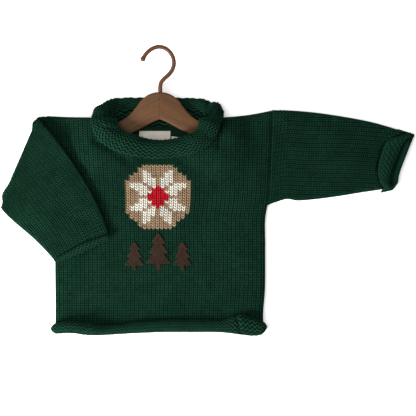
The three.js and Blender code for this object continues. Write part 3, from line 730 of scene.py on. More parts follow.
# %% Colours of the front, stitch by stitch
def design(wale, course):
    """Yarn colours by distance from the middle stitch: an octagon, then eight leaning petals
    whose sides follow the axes and the diagonals, then a diamond in the middle."""
    dx, dy = np.abs(wale - ROUNDEL_WALE) * WALE, np.abs(course - ROUNDEL_COURSE) * COURSE
    far, near = np.maximum(dx, dy), np.minimum(dx, dy)
    octagon = np.maximum(far, (dx + dy) / math.sqrt(2)) < ROUNDEL_RADIUS
    petals = (near > AXIS_GAP) & (near < PETAL)
    petals = petals & (far - near > DIAGONAL_GAP) & (far - near < PETAL)
    colours = np.broadcast_to(linear(GREEN), (*dx.shape, 3)).copy()
    colours[octagon] = linear(TAN)
    colours[octagon & petals] = linear(CREAM)
    colours[dx + dy < HEART] = linear(RED)
    return colours


print("roundel:", 2 * ROUNDEL_RADIUS, "mm across")


# %% The plan of a panel
def across_body(share, y):
    """From side to side, a little fuller below the armholes, where the sides are free."""
    full = SIDE_FULLNESS * smooth((ARMHOLE_LOW_Y - y) / FULLNESS_RUN)
    return mix(side_left(y) - full, side_right(y) + full, (share + 1) / 2)


def panel_plan(wales, courses, start, end, top):
    """Where the points of a panel lie, seen from above: wales share out the width, courses have
    one height, and what passes the upper edge is pressed below it."""
    u, v, relief = stockinette(wales, courses)
    share = 2 * u / wales - 1
    raw = mix(start, end, v / courses)
    x = across_body(share, raw)
    limit = top(x)
    y, kept = pressed(raw, limit - PRESSED_BAND, limit, np.full_like(raw, end))
    x = across_body(share, y)
    return u, v, x, y, relief, relief_left(kept)


def edge_dip(x, y, top):
    """1 on the sides and the upper edge of a panel, 0 from one run inside them."""
    inside = np.minimum(np.minimum(x - side_left(y), side_right(y) - x), top(x) - y)
    return smooth(1 - inside / EDGE_RUN)


print("hem, from side to side:", across_body(np.array([-1, 1]), 0).round(1), "mm")

# %% The front panel
u, v, x, y, relief, kept = panel_plan(
    FRONT_WALES, FRONT_COURSES, FRONT_START_Y, FRONT_END_Y, front_top
)
z = front_height(x, y) - FRONT_EDGE_DIP * edge_dip(x, y, front_top)
base = np.stack([x, y, z], -1)
wale_number, course_number = np.broadcast_arrays(np.floor(u), (np.arange(len(u)) // PER_COURSE)[:, None])
front_yarn = design(wale_number, course_number)
front_outer, front_inner = knit_wall(
    base, u, v, relief, KNIT_BASE, KNIT_RELIEF, yarn=front_yarn, kept=kept
)
lowest = WALL + SEAM_GAP / 2 + hem_lift(front_inner["points"][..., 1])
front_inner["points"][..., 2] = np.maximum(front_inner["points"][..., 2], lowest)
front_wall = wall(front_outer, front_inner)
print("front panel:", FRONT_WALES * FRONT_COURSES, "stitches")

# %% [markdown]
# Stockinette curls towards its right side at a free edge. The roll is part of an ellipse, carried
# from side to side between its two measured lines, with both ends domed and a few creases that
# lean where the hem is pinched.

# %% Sizes of the rolled hem
HEM_ROLL_COURSES = 9
HEM_ROLL_FROM = math.radians(-10)
HEM_ROLL_TO = math.radians(292)
HALF_HEM = 140
KNOB_LEFT, KNOB_RIGHT, KNOB_REACH = -5.0, 3.5, 22.0
ROLL_DOME = 7.0
LEAST_DOME = 0.06
ROLL_END_RUN = 5
TWIST_FROM, TWIST_RUN = 1.7, 0.5
PUCKER_RISE = 0.5
ROLL_TWISTS = {
    "x": [-118, -107, -96, -84, 109, 62, -35],
    "lean": [9, 10, 9, 8, -4, 7, -6],
    "width": [2.6, 2.2, 2.8, 2.4, 2.4, 5, 6],
    "depth": [1.2, 1.6, 1.4, 1.0, 4.0, 0.7, 0.6],
}
print("hem roll:", round(math.degrees(HEM_ROLL_TO - HEM_ROLL_FROM)), "degrees round")


# %% Ends and creases of a roll
def domed(distance, run):
    """The share of a roll's size near its end: a quarter circle from almost 0 to 1."""
    near = 1 - np.clip(distance / run, 0, 1)
    return np.maximum(np.sqrt(1 - near**2), LEAST_DOME)


def twisted(x, turn):
    """Creases that lean as they go round the top of a roll: bell-shaped troughs about slanting
    lines, stilled at its outermost line so that its outline stays smooth."""
    total = np.zeros(np.broadcast(x, turn).shape)
    for at, lean, width, depth in zip(*ROLL_TWISTS.values()):
        away = x - at - lean * (turn - np.pi / 2) / (np.pi / 2)
        total = total - depth * bell(away, width)
    return total * smooth((turn - TWIST_FROM) / TWIST_RUN)


print("deepest crease in the hem:", max(ROLL_TWISTS["depth"]), "mm")

# %% The rolled hem of the front
u, v, relief = purl(FRONT_WALES, HEM_ROLL_COURSES)
share = 2 * u / FRONT_WALES - 1
plain = across_body(share, np.zeros_like(u))
outer_y, inner_y = column(HEM, "x", "outer", plain), column(HEM, "x", "inner", plain)
turn = mix(HEM_ROLL_FROM, HEM_ROLL_TO, v / HEM_ROLL_COURSES)
to_end = (1 - np.abs(share)) * HALF_HEM
knob = np.where(share < 0, KNOB_LEFT, KNOB_RIGHT) * smooth(1 - to_end / KNOB_REACH)
dome = domed(to_end, ROLL_DOME)
puckered = twisted(plain, turn)
radius = ((inner_y - outer_y) / 2 - PURL_BASE - PURL_RELIEF / 2) * dome + puckered * dome
x = plain + knob * np.sin(np.clip(turn, 0, np.pi) / 2)
y = (outer_y + inner_y) / 2 - radius * np.sin(turn)
high = column(HEM, "x", "height", plain)
z = front_height(plain, 0 * plain) + high - (high * dome + puckered * PUCKER_RISE) * np.cos(turn)
hem_faces = knit_wall(
    np.stack([x, y, z], -1), u, v, relief, PURL_BASE, PURL_RELIEF, step=ROLL_STEP,
    kept=smooth(to_end / ROLL_END_RUN),
)
hem_wall = wall(*hem_faces)
front = mesh_piece("knitted_front", [front_wall, hem_wall], COTTON)
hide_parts("front_panel")

# %% [markdown]
# ## The back
#
# The back lies on the table with its right side down and its hem rolled under. Its wrong side
# shows in the neck, behind the label, as rows of purl. The same plan makes it as made the front,
# with the stitches on its lower face and the arcs of the upper one left to the material.

# %% Sizes of the back
BACK_COURSES = 84
BACK_START_Y = 4.5
BACK_HEM_COURSES = 6
BACK_HEM_PATH = {
    "along": [0, 4, 8, 12, 16, 20],
    "y": [4.6, 2.6, 2.1, 3.4, 8, 15],
    "z": [5.7, 4.9, 3.3, 1.7, 1.35, 1.35],
}
BACK_HEM_SHARE, BACK_HEM_BASE = 0.7, 0.3
BACK_EDGE_RISE = 0.5
print("back hem roll:", BACK_HEM_PATH["along"][-1], "mm of cloth")

# %% The back panel
u, v, x, y, relief, kept = panel_plan(
    FRONT_WALES, BACK_COURSES, BACK_START_Y, FRONT_END_Y, back_top
)
z = BACK_MID + hem_lift(y) + BACK_EDGE_RISE * edge_dip(x, y, back_top)
back_faces = knit_wall(
    np.stack([x, y, z], -1), u, v, relief, RESTING_BASE, KNIT_RELIEF, side=-1, kept=kept
)
back_wall = wall(*back_faces)
print("back panel:", FRONT_WALES * BACK_COURSES, "stitches")

# %% The back's hem, rolled under
u, v, relief = purl(FRONT_WALES, BACK_HEM_COURSES)
along = v / BACK_HEM_COURSES * BACK_HEM_PATH["along"][-1]
y = column(BACK_HEM_PATH, "along", "y", along)
z = column(BACK_HEM_PATH, "along", "z", along)
share = 2 * u / FRONT_WALES - 1
x = across_body(share, y)
hem_base = np.stack([x, y, z], -1)
downwards = -np.sign(facing(hem_base)[-1, :, 2].sum())
hem_faces = knit_wall(
    hem_base, u, v, relief * BACK_HEM_SHARE, BACK_HEM_BASE, PURL_RELIEF, downwards, step=ROLL_STEP
)
back = mesh_piece("knitted_back", [back_wall, wall(*hem_faces)], COTTON)
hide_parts("back_panel")

# %% [markdown]
# ## The sleeves
#
# A sleeve is a flattened tube. Its wales keep one width from armhole to cuff and the tube
# narrows, so the outermost wales run out at its two long edges, where a knitter decreases. They
# are pressed together there. The cut through the tube is a flat band with elliptical ends. Two
# tables of edges give both sleeves their outline, and the same functions make both.

# %% Sleeve tables
RIGHT_SLEEVE = {
    "reach": [0, 0.14, 0.22, 0.33, 0.52, 0.71, 0.87, 1],
    "top_x": [149.4, 176, 190.5, 211, 247, 282, 312, 338],
    "top_y": [297.2, 296.2, 295.2, 293.2, 288, 281.2, 272.8, 264.2],
    "low_x": [144.4, 168.7, 183, 206, 240, 268, 292, 311],
    "low_y": [170.6, 179, 177.2, 178.6, 183, 187.6, 191.2, 195],
}
LEFT_SLEEVE = {
    "reach": [0, 0.06, 0.16, 0.3, 0.5, 0.7, 0.87, 1],
    "top_x": [-151, -160, -173, -203, -247, -286, -320, -345],
    "top_y": [288.4, 288, 287.2, 285.6, 280, 272, 261.4, 250],
    "low_x": [-142.4, -206, -218.5, -233, -248, -278, -304, -319.6],
    "low_y": [171.5, 171.5, 170, 169.6, 170.6, 174, 175.2, 174.6],
}
SLEEVE_WALES = 22
SLEEVE_COURSES = 52
SLEEVE_HALF = 63.0
ARMHOLE_GAP = 0.2
TUBE_MID = WALL + SEAM_GAP / 2
TUBE_HALF_HEIGHT = (WALL + SEAM_GAP) / 2
TUBE_EDGE = 1.9
OUTLINE_INSET = 0.2
VALLEY_WIDTH, VALLEY_DEPTH = 2.2, 2.4
CUFF_EDGE_FROM = 0.8
PRESSED_EDGE = 3.2
SEAM_DIP = 0.9
print("sleeve:", 2 * SLEEVE_WALES, "wales,", 4 * SLEEVE_HALF, "mm round at the armhole")


# %% Edges of a sleeve
def sleeve_edges(table, reach):
    """The lower and the upper edge at a reach from 0 at the armhole to 1 at the cuff: the cubics
    through their columns."""
    return [
        np.stack([column(table, "reach", f"{edge}_{axis}", reach) for axis in "xy"], -1)
        for edge in ("low", "top")
    ]


def sleeve_length(table):
    """How far the lower edge runs along x."""
    return abs(table["low_x"][-1] - table["low_x"][0])


def cuff_set_back(table, cuff, across):
    """How far before the end of the sleeve its roll has its middle, as a share of the length."""
    width = column(cuff["roll"], "across", "width", across)
    return (width / 2 + column(cuff["roll"], "across", "back", across)) / sleeve_length(table)


print("lower edges:", [round(sleeve_length(each)) for each in (RIGHT_SLEEVE, LEFT_SLEEVE)], "mm")


# %% Reach and cut of a tube
def tube_reach(table, cuff, s, station, face, rolled):
    """How far out each point lies, from 0 at the armhole to 1, and its distance to the roll in
    mm. The face that rolls stops short of the other, except at the long edges."""
    end_low, end_top = sleeve_edges(table, 1)
    end_half = np.linalg.norm(end_top - end_low) / 2
    across = (np.clip(s / end_half, -1, 1) + 1) / 2
    edge = smooth((np.abs(s) - CUFF_EDGE_FROM * end_half) / ((1 - CUFF_EDGE_FROM) * end_half))
    rolls = 0.5 + 0.5 * face * rolled * (1 - edge)
    reach = station * (1 - rolls * cuff_set_back(table, cuff, across))
    width, back = (column(cuff["roll"], "across", name, across) for name in ("width", "back"))
    return reach, (1 - reach) * sleeve_length(table) - width - back


def tube_cut(s, half):
    """A flat band with elliptical ends: how far out from the middle each wale lies, its angle
    round the end, and the share that is left of its width."""
    rim = half - TUBE_EDGE
    end = rim + TUBE_EDGE * np.pi / 2
    walked, share = pressed(np.abs(s), half - PRESSED_EDGE, end, np.full_like(s, SLEEVE_HALF))
    angle = np.clip((walked - rim) / TUBE_EDGE, 0, np.pi / 2)
    return np.sign(s) * (np.minimum(walked, rim) + TUBE_EDGE * np.sin(angle)), angle, share


def onto_body(table, station, x, y, axis):
    """Moves the start of a tube to the side of the body, and fades out along an S curve. Also
    gives the side's own x."""
    seam = side_right(y) if axis > 0 else side_left(y)
    start_share = (y - table["low_y"][0]) / (table["top_y"][0] - table["low_y"][0])
    start_x = mix(table["low_x"][0], table["top_x"][0], start_share)
    at_seam = smooth(1 - station / table["reach"][1])
    return x + (seam + axis * ARMHOLE_GAP - start_x) * at_seam, seam


kept_width = tube_cut(np.array([SLEEVE_HALF]), SLEEVE_HALF / 2)[2]
print("share left of the outermost wale, in a tube half as wide:", kept_width.round(2))


# %% The wall of a sleeve
def sleeve_tube(table, cuff, puff, creases, rolled, axis):
    """The wall of a flattened tube. Columns go up its upper face and back down its lower face,
    rows run from the armhole to the cuff, and a valley goes along the roll."""
    u, v, relief = stockinette(2 * SLEEVE_WALES, SLEEVE_COURSES)
    station = v / SLEEVE_COURSES
    upper = u <= SLEEVE_WALES
    face = np.where(upper, 1.0, -1.0)
    count = np.where(upper, u, 2 * SLEEVE_WALES - u)
    s = (2 * count / SLEEVE_WALES - 1) * SLEEVE_HALF
    reach, to_roll = tube_reach(table, cuff, s, station, face, rolled)
    low, top = sleeve_edges(table, reach)
    width = np.linalg.norm(top - low, axis=-1)
    out, angle, share = tube_cut(s, width / 2 - OUTLINE_INSET)
    place = (low + top) / 2 + (top - low) / width[..., None] * out[..., None]
    y = place[..., 1]
    x, seam = onto_body(table, station, place[..., 0], y, axis)
    dip = SEAM_DIP * smooth(1 - np.abs(x - seam) / EDGE_RUN) * upper
    valley = VALLEY_DEPTH * bell(to_roll, VALLEY_WIDTH)
    folds = (creased(creases, x, y) - valley) * (face == rolled)
    swell = puff(station, (s / SLEEVE_HALF + 1) / 2, face) + rolled * folds
    z = TUBE_MID + (face * (TUBE_HALF_HEIGHT - dip) + swell) * np.cos(angle)
    base = np.stack([x, y, z], -1)
    outwards = np.sign(np.sum(facing(base, around=True)[..., 2] * (z - TUBE_MID)))
    lift = np.where(upper, KNIT_BASE, RESTING_BASE)
    kept = relief_left(share)
    return knit_wall(base, u, v, relief, lift, KNIT_RELIEF, outwards, True, TUBE_STEP, kept=kept)


print("sleeve tube:", 2 * SLEEVE_WALES * SLEEVE_COURSES, "stitches")

# %% The roll of a cuff
CUFF_DOME = 6
CUFF_TURN_FROM = math.radians(-8)
CUFF_RIM = 1.3
CUFF_LEAN = 0.06
FLARE_RUN = 8


def cuff_roll(table, cuff, puff, rolled, axis):
    """The wall of a rolled cuff: part of an ellipse carried along the end of one face, with its
    two ends domed and its wrong side out."""
    u, v, relief = purl(cuff["wales"], cuff["courses"])
    across = u / cuff["wales"]
    roll_width = column(cuff["roll"], "across", "width", across)
    set_back = cuff_set_back(table, cuff, across)
    low, top = sleeve_edges(table, 1 - set_back)
    end = low + (top - low) * across[..., None]
    to_end = np.minimum(across, 1 - across) * np.linalg.norm(top - low, axis=-1)
    dome = domed(to_end, CUFF_DOME)
    turn = mix(CUFF_TURN_FROM, math.radians(cuff["turn"]), v / cuff["courses"])
    high = np.minimum(roll_width / 2 - CUFF_RIM, cuff["height"])
    out = (roll_width / 2 - PURL_BASE - PURL_RELIEF / 2) * dome * np.sin(turn)
    flare = np.where(across < 0.5, -1, 1) * cuff["flare"] * smooth(1 - to_end / FLARE_RUN)
    rest = TUBE_MID + rolled * TUBE_HALF_HEIGHT + puff(1 - set_back, across, rolled)
    z = rest + rolled * high * (1 - dome * np.cos(turn))
    base = np.stack([end[..., 0] + axis * out, end[..., 1] - CUFF_LEAN * out + flare, z], -1)
    rows, columns = across.shape
    outwards = rolled * np.sign(facing(base)[rows // 2, columns // 2, 2])
    kept = smooth(to_end / ROLL_END_RUN) * cuff["boldness"]
    return knit_wall(base, u, v, relief, PURL_BASE, PURL_RELIEF, outwards, step=ROLL_STEP, kept=kept)


print("cuff ends: domed over", CUFF_DOME, "mm")

# %% The sleeve that lies straight out
RIGHT_CUFF = {
    "roll": {
        "across": [0, 0.1, 0.28, 0.48, 0.68, 0.85, 1],
        "width": [12, 13, 18.4, 21.5, 22.6, 20, 10],
        "back": [5, 9.8, 11, 9, 6.9, 4.8, 2.2],
    },
    "height": 3.6, "turn": 285, "flare": 1.2, "wales": 13, "courses": 7, "boldness": 0.5,
}
RIGHT_CREASES = {
    "x1": [160, 215, 290], "y1": [186, 240, 262], "x2": [200, 262, 268], "y2": [188, 226, 214],
    "width": [5, 9, 8], "height": [-0.8, 0.7, -0.6],
}
RIGHT_SWELL, RIGHT_GROWTH, RIGHT_WAVE = 0.8, 1.6, 0.7
RIGHT_WAVE_ALONG, RIGHT_WAVE_ACROSS = 9, 4


def right_puff(station, across, face):
    """The upper face bellies up between its long edges: half a sine wave across it, which grows
    from the armhole and has a sine wave along it."""
    wave = RIGHT_WAVE * np.sin(station * RIGHT_WAVE_ALONG + across * RIGHT_WAVE_ACROSS)
    swell = RIGHT_SWELL + RIGHT_GROWTH * smooth(station * 2) + wave
    return np.where(np.asarray(face) > 0, np.sin(np.pi * across) * swell, 0)


right_tube = wall(*sleeve_tube(RIGHT_SLEEVE, RIGHT_CUFF, right_puff, RIGHT_CREASES, 1, 1), around=True)
right_roll = wall(*cuff_roll(RIGHT_SLEEVE, RIGHT_CUFF, right_puff, 1, 1))
print("right tube and roll:", len(right_tube["triangles"]), len(right_roll["triangles"]), "triangles")

# %% [markdown]
# The roll stands back from the end of this sleeve, so the edge of the face below it shows as a
# lip, with a dark opening between the two.

# %% The lip of the open cuff
LIP = {
    "course": [0, 1.2, 2.4, 3.6, 4.8, 6],
    "back": [19, 11, 5, 1.2, -0.6, 0.8],
    "z": [2.6, 3.4, 6.0, 6.2, 3.6, 1.2],
}
LIP_WALES, LIP_COURSES = 12, 6
LIP_LOW_END = -0.05
LIP_BASE, LIP_RELIEF, LIP_REST = 0.2, 0.9, 1.0
LIP_BULGES = {"across": [0.08, 0.97], "width": [0.12, 0.06], "out": [3.2, 2.2]}
LIP_SQUARENESS = 8

u, v, relief = purl(LIP_WALES, LIP_COURSES)
across = mix(LIP_LOW_END, 1, u / LIP_WALES)
back = column(LIP, "course", "back", v) / sleeve_length(RIGHT_SLEEVE)
low, top = sleeve_edges(RIGHT_SLEEVE, 1 - back)
base = low + (top - low) * across[..., None]
for at, width, out in zip(*LIP_BULGES.values()):
    base[..., 0] += out * bell(across - at, width)
rounded = np.sqrt(np.maximum(1 - (2 * u / LIP_WALES - 1) ** LIP_SQUARENESS, 0))
z = mix(LIP_REST, column(LIP, "course", "z", v), rounded)
base = np.concatenate([base, z[..., None]], -1)
lip_faces = knit_wall(
    base, u, v, relief, LIP_BASE, LIP_RELIEF, step=ROUND_STEP, kept=RIGHT_CUFF["boldness"]
)
right_lip = wall(*lip_faces)
right_sleeve = mesh_piece("knitted_sleeve_right", [right_tube, right_roll, right_lip], COTTON)
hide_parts("sleeve_right")

# %% [markdown]
# ## The folded sleeve
#
# The other sleeve is made flat in the same way and then folded over the front. Folding is a
# formula too: what passes the crease goes half way round a small circle about it, and the rest
# is laid back on what lies beneath. The face that was below is now the one that shows. A sleeve
# drawn in its folded place would have stitches that stretch at the crease; folded, they keep
# their size.

# %% Sizes of the fold
FOLD_TOP = np.array([-166.7, 281.3])
FOLD_LOW = np.array([-212.0, 177.3])
FOLD_INNER_RADIUS = 1.2
FOLD_SAG = 5.4
SAG_RUN = 26
FOLD_BULGES = {"along": [2, 104, 118], "width": [6, 10, 7], "out": [3.2, 2.6, -3.2]}
FOLD_RISE = 7.0
RISE_BEYOND, RISE_BEYOND_RUN = 50, 32
RISE_ALONG, RISE_ALONG_RUN = 5, 28
FOLD_CENTRE_Z = 2 * WALL + SEAM_GAP + FOLD_INNER_RADIUS
FOLD_NEUTRAL = FOLD_CENTRE_Z - TUBE_MID
RISE_START = 20
SAG_SIDE_GAP, SAG_LOW_GAP = 4, 2
LAID_AFTER = 2
fold_axis = (FOLD_LOW - FOLD_TOP) / np.linalg.norm(FOLD_LOW - FOLD_TOP)
fold_out = np.array([fold_axis[1], -fold_axis[0]])
print("crease:", round(float(np.linalg.norm(FOLD_LOW - FOLD_TOP))), "mm long")


# %% Folding
def fold_over(points):
    """Bends points about the crease: an arc while they are within half a circumference of it,
    a level run back over the body after that. The arc swells into a knob at its top end and is
    rounded off at its low end. The run stands up near the top, where the cloth is bunched, and
    sags where nothing holds it up."""
    from_top = points[..., :2] - FOLD_TOP
    beyond = from_top @ fold_out + FOLD_CENTRE_Z
    along = from_top @ fold_axis
    bulge = sum(out * bell(along - at, width) for at, width, out in zip(*FOLD_BULGES.values()))
    radius = FOLD_CENTRE_Z - points[..., 2]
    turn = np.minimum(beyond / FOLD_NEUTRAL, np.pi)
    run = np.maximum(beyond - np.pi * FOLD_NEUTRAL, 0)
    across = (radius + bulge) * np.sin(turn) - run - FOLD_CENTRE_Z
    rise = FOLD_RISE * bell(beyond - RISE_BEYOND, RISE_BEYOND_RUN) * smooth(beyond / RISE_START)
    rise = rise * bell(along - RISE_ALONG, RISE_ALONG_RUN)
    plan = FOLD_TOP + fold_axis * along[..., None] + fold_out * across[..., None]
    beside_body = smooth((side_left(plan[..., 1]) - SAG_SIDE_GAP - plan[..., 0]) / SAG_RUN)
    under_sleeve = smooth((LEFT_SLEEVE["low_y"][0] - SAG_LOW_GAP - plan[..., 1]) / SAG_RUN)
    laid = smooth((beyond / FOLD_NEUTRAL - np.pi) / LAID_AFTER)
    sag = FOLD_SAG * beside_body * under_sleeve * laid
    z = FOLD_CENTRE_Z - radius * np.cos(turn) - sag + rise
    folded = np.concatenate([plan, z[..., None]], -1)
    return np.where((beyond > 0)[..., None], folded, points)


corner = np.array([LEFT_SLEEVE["top_x"][0], LEFT_SLEEVE["top_y"][0], TUBE_MID])
print("the corner of the armhole stays where it is:", np.allclose(fold_over(corner), corner))

# %% The sleeve folded over the front
LEFT_CUFF = {
    "roll": {
        "across": [0, 0.25, 0.5, 0.75, 1],
        "width": [7.5, 10, 12, 11, 8.5],
        "back": [-3, -3, -3, -3, -3],
    },
    "height": 2.2, "turn": 240, "flare": 0.5, "wales": 14, "courses": 4, "boldness": 0.6,
}
LEFT_CREASES = {
    "x1": [-300, -240], "y1": [240, 262], "x2": [-262, -300], "y2": [215, 250],
    "width": [9, 7], "height": [-0.5, 0.5],
}
LEFT_SWELL, LEFT_WAVE, LEFT_FULLNESS = 1.6, 0.7, 0.6
LEFT_WAVE_ALONG, LEFT_WAVE_ACROSS = 11, 5
LEFT_FLAT_TO, LEFT_GROWTH = 0.34, 4


def left_puff(station, across, face):
    """Beyond the crease the face that ends up above swells between its long edges: a power of
    half a sine wave across it, with a sine wave along it."""
    wave = LEFT_WAVE * np.sin(station * LEFT_WAVE_ALONG + across * LEFT_WAVE_ACROSS)
    swell = smooth((station - LEFT_FLAT_TO) * LEFT_GROWTH) * (LEFT_SWELL + wave)
    return np.where(np.asarray(face) < 0, -np.sin(np.pi * across) ** LEFT_FULLNESS * swell, 0)


left_faces = sleeve_tube(LEFT_SLEEVE, LEFT_CUFF, left_puff, LEFT_CREASES, -1, -1)
left_roll_faces = cuff_roll(LEFT_SLEEVE, LEFT_CUFF, left_puff, -1, -1)
for each in (*left_faces, *left_roll_faces):
    each["points"] = fold_over(each["points"])
left_tube = wall(*left_faces, around=True)
left_sleeve = mesh_piece("knitted_sleeve_left", [left_tube, wall(*left_roll_faces)], COTTON)
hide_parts("sleeve_left")

# %% [markdown]
# ## The rolled collar
#
# The collar is a tube knitted up from the neckline. It stands for a centimetre and rolls outwards
# under its own curl, so its wrong side is what shows, all round. Each upright cut through it is a
# smooth curve from the neckline through five measured points, and the cuts change slowly round
# the neck. A torus would be simpler, but the roll is wide in front and leans flat at the back.

# %% Cuts through the collar
COLLAR = {
    "turn": [-90, -53, -32, -10, 35, 74, 90, 106, 115, 126, 146, 168, 189, 206, 232],
    "x": [-2, 46, 61.5, 69.8, 69.4, 46, -2, -48, -55.5, -62, -69.4, -71, -69.8, -66.5, -50],
    "y": [
        245.3, 253.4, 264.2, 281.6, 288.6, 280.4, 274.3, 279.6,
        281.4, 284.2, 288.6, 286, 281.2, 270.5, 255.6,
    ],
    "out_rise": [-7, -8.5, -9.5, -12, -8, 8, 11, 8, 5, -1, -7, -8.5, -9, -8.5, -9],
    "up_rise": [3.6, 3.2, 3.2, 3.2, 4.6, 1.6, 1.4, 1.6, 1.8, 3.4, 5, 4.2, 3.4, 3.4, 3.4],
    "out_rim": [-10.4, -12, -13, -16.5, -9.5, 18, 24, 18.5, 14.4, 4, -8, -11.5, -12.5, -11.5, -12.6],
    "up_rim": [9.5, 8.6, 8.6, 8.6, 10, 4.4, 4.4, 4.2, 4.4, 9.6, 12, 10.4, 9, 9, 8.8],
    "out_crest": [-1, -1, -2, -2, 5, 26, 32.4, 27.4, 24.2, 17.4, 8, 6, 4.6, 3.2, 0],
    "up_crest": [14.6, 14.4, 14.4, 15.4, 16.4, 6.4, 5.4, 5.6, 6.2, 14.4, 19, 18.4, 17, 16, 15],
    "out_edge": [11.6, 11.4, 11, 10.8, 16.4, 32.2, 38.4, 34, 31, 25, 19.8, 19, 19.6, 18.8, 14.6],
    "up_edge": [9, 9, 9.4, 10, 9.6, 3.2, 2.6, 2.8, 3.2, 6.8, 9.8, 10.2, 10.2, 10.2, 9.4],
    "out_tuck": [6, 6, 5.8, 5.4, 11, 26, 31, 27.8, 25, 19, 14.2, 13.6, 13.8, 13, 9],
    "up_tuck": [3.4, 3.6, 4.2, 5, 4.6, 0, 0, 0, 0.6, 2.8, 4.6, 5, 5, 4.6, 3.8],
}
COLLAR_WALES = 66
COLLAR_COURSES = 12
COLLAR_POINTS = ["rise", "rim", "crest", "edge", "tuck"]
print("collar:", len(COLLAR["turn"]), "cuts through", len(COLLAR_POINTS), "points")

# %% How the collar lies
COLLAR_CLEAR = 0.3
COLLAR_REST = 2.0
NOTCH_TURN, NOTCH_WIDTH, NOTCH_DEPTH = 66, 4, 2.4
WALK_POINTS = 121
ON_FRONT, ON_FRONT_RATE = 0.5, 1.4
PAST_CREST, PAST_CREST_RUN = 0.5, 0.12
NOT_BACK, NOT_BACK_RUN = 0.85, 0.15
CREASED_FROM, CREASED_FROM_RUN = 0.3, 0.2
CREASED_TO, CREASED_TO_RUN = 0.95, 0.15
COLLAR_CREASES = {
    "x1": [-78, -44, 20, 62, -56, 65],
    "y1": [276, 262, 238, 262, 308, 311],
    "x2": [-54, -70, 34, 78, -57, 62],
    "y2": [268, 240, 230, 256, 284, 288],
    "width": [2.6, 5, 6, 3, 4.5, 3],
    "height": [-1.6, -1.1, -1.0, -1.2, -2.6, -3.2],
}
print("creases in the collar:", len(COLLAR_CREASES["width"]))


# %% Curves round the neck and over the roll
def all_round(table, margin=2):
    """A table of cuts continued past both ends by the cuts from its other end."""
    whole = {}
    for name, values in table.items():
        turn = 360 if name == "turn" else 0
        before = [value - turn for value in values[-margin:]]
        whole[name] = before + values + [value + turn for value in values[:margin]]
    return whole


def through_points(points, t):
    """A uniform Catmull-Rom curve: between two points it leaves and arrives along the chord of
    their neighbours. points has one array for each point, t runs from 0 to 1."""
    at = t * (len(points) - 1)
    i = np.minimum(at.astype(int), len(points) - 2)
    p = at - i
    p0, p1 = points[np.maximum(i - 1, 0)], points[i]
    p2, p3 = points[i + 1], points[np.minimum(i + 2, len(points) - 1)]
    v0, v1 = (p2 - p0) / 2, (p3 - p1) / 2
    p = p[:, None]
    return (2 * p1 - 2 * p2 + v0 + v1) * p**3 + (3 * p2 - 3 * p1 - 2 * v0 - v1) * p**2 + v0 * p + p1


tent = np.array([[0.0], [2.0], [0.0]])
print("a quarter of the way through 0, 2 and 0:", through_points(tent, np.array([0.25])).round(3))

# %% Every wale of the collar
u, v, relief = purl(COLLAR_WALES, COLLAR_COURSES)
turns = COLLAR["turn"][0] + 360 * u[0] / COLLAR_WALES
whole = all_round(COLLAR)
cut = {name: column(whole, "turn", name, turns) for name in COLLAR if name != "turn"}
for name in ("out_crest", "out_edge", "out_tuck"):
    cut[name] -= NOTCH_DEPTH * bell(turns - NOTCH_TURN, NOTCH_WIDTH)
outs, ups = (
    np.stack([0 * turns] + [cut[f"{way}_{name}"] for name in COLLAR_POINTS]) for way in ("out", "up")
)
dense = np.linspace(0, 1, WALK_POINTS)
steps = np.hypot(*(np.diff(through_points(points, dense), axis=0) for points in (outs, ups)))
walked = np.r_[0, np.cumsum(steps.mean(axis=1))]
t = np.interp(v[:, 0] / COLLAR_COURSES * walked[-1], walked, dense)
out, up = through_points(outs, t), through_points(ups, t)
print("collar cut:", round(float(walked[-1]), 1), "mm from neckline to end")

# %% The rolled collar
along = t[:, None]
facing_x, facing_y = np.cos(np.radians(turns)), np.sin(np.radians(turns))
x = cut["x"] + out * facing_x
y = cut["y"] + out * facing_y
on_front = smooth(ON_FRONT - facing_y * ON_FRONT_RATE)
z = mix(BACK_MID, front_height(cut["x"], cut["y"]), on_front) + up
rolled_over = smooth((along - PAST_CREST) / PAST_CREST_RUN) * smooth((NOT_BACK - facing_y) / NOT_BACK_RUN)
z = mix(z, np.maximum(z, front_height(x, y) + WALL + COLLAR_CLEAR), rolled_over)
on_top = smooth((along - CREASED_FROM) / CREASED_FROM_RUN) * smooth((CREASED_TO - along) / CREASED_TO_RUN)
z = z + creased(COLLAR_CREASES, x, y) * on_top
z = np.where(along > PAST_CREST, np.maximum(z, COLLAR_REST), z)
base = np.stack([x, y, z], -1)
outwards = np.sign(facing(base, around=True)[len(t) // 2, 0, 2])
collar_faces = knit_wall(base, u, v, relief, PURL_BASE, PURL_RELIEF, outwards, True, ROUND_STEP)
collar = mesh_piece("rolled_collar", [wall(*collar_faces, around=True)], COTTON)
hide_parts("collar")

# %% [markdown]
# ## Felt trees
#
# Three fir trees are cut from dark brown wool felt and sewn on by hand. Felt has no grain: it is
# a mat of fibres with a soft nap, and a cut edge that rounds a little. The trees are worked out
# from the height of the front beneath them, so they follow it without a Shrinkwrap modifier.

# %% Wool felt and thread
NAP_SIZE = 0.0012
THREAD_SIZE = 0.0008


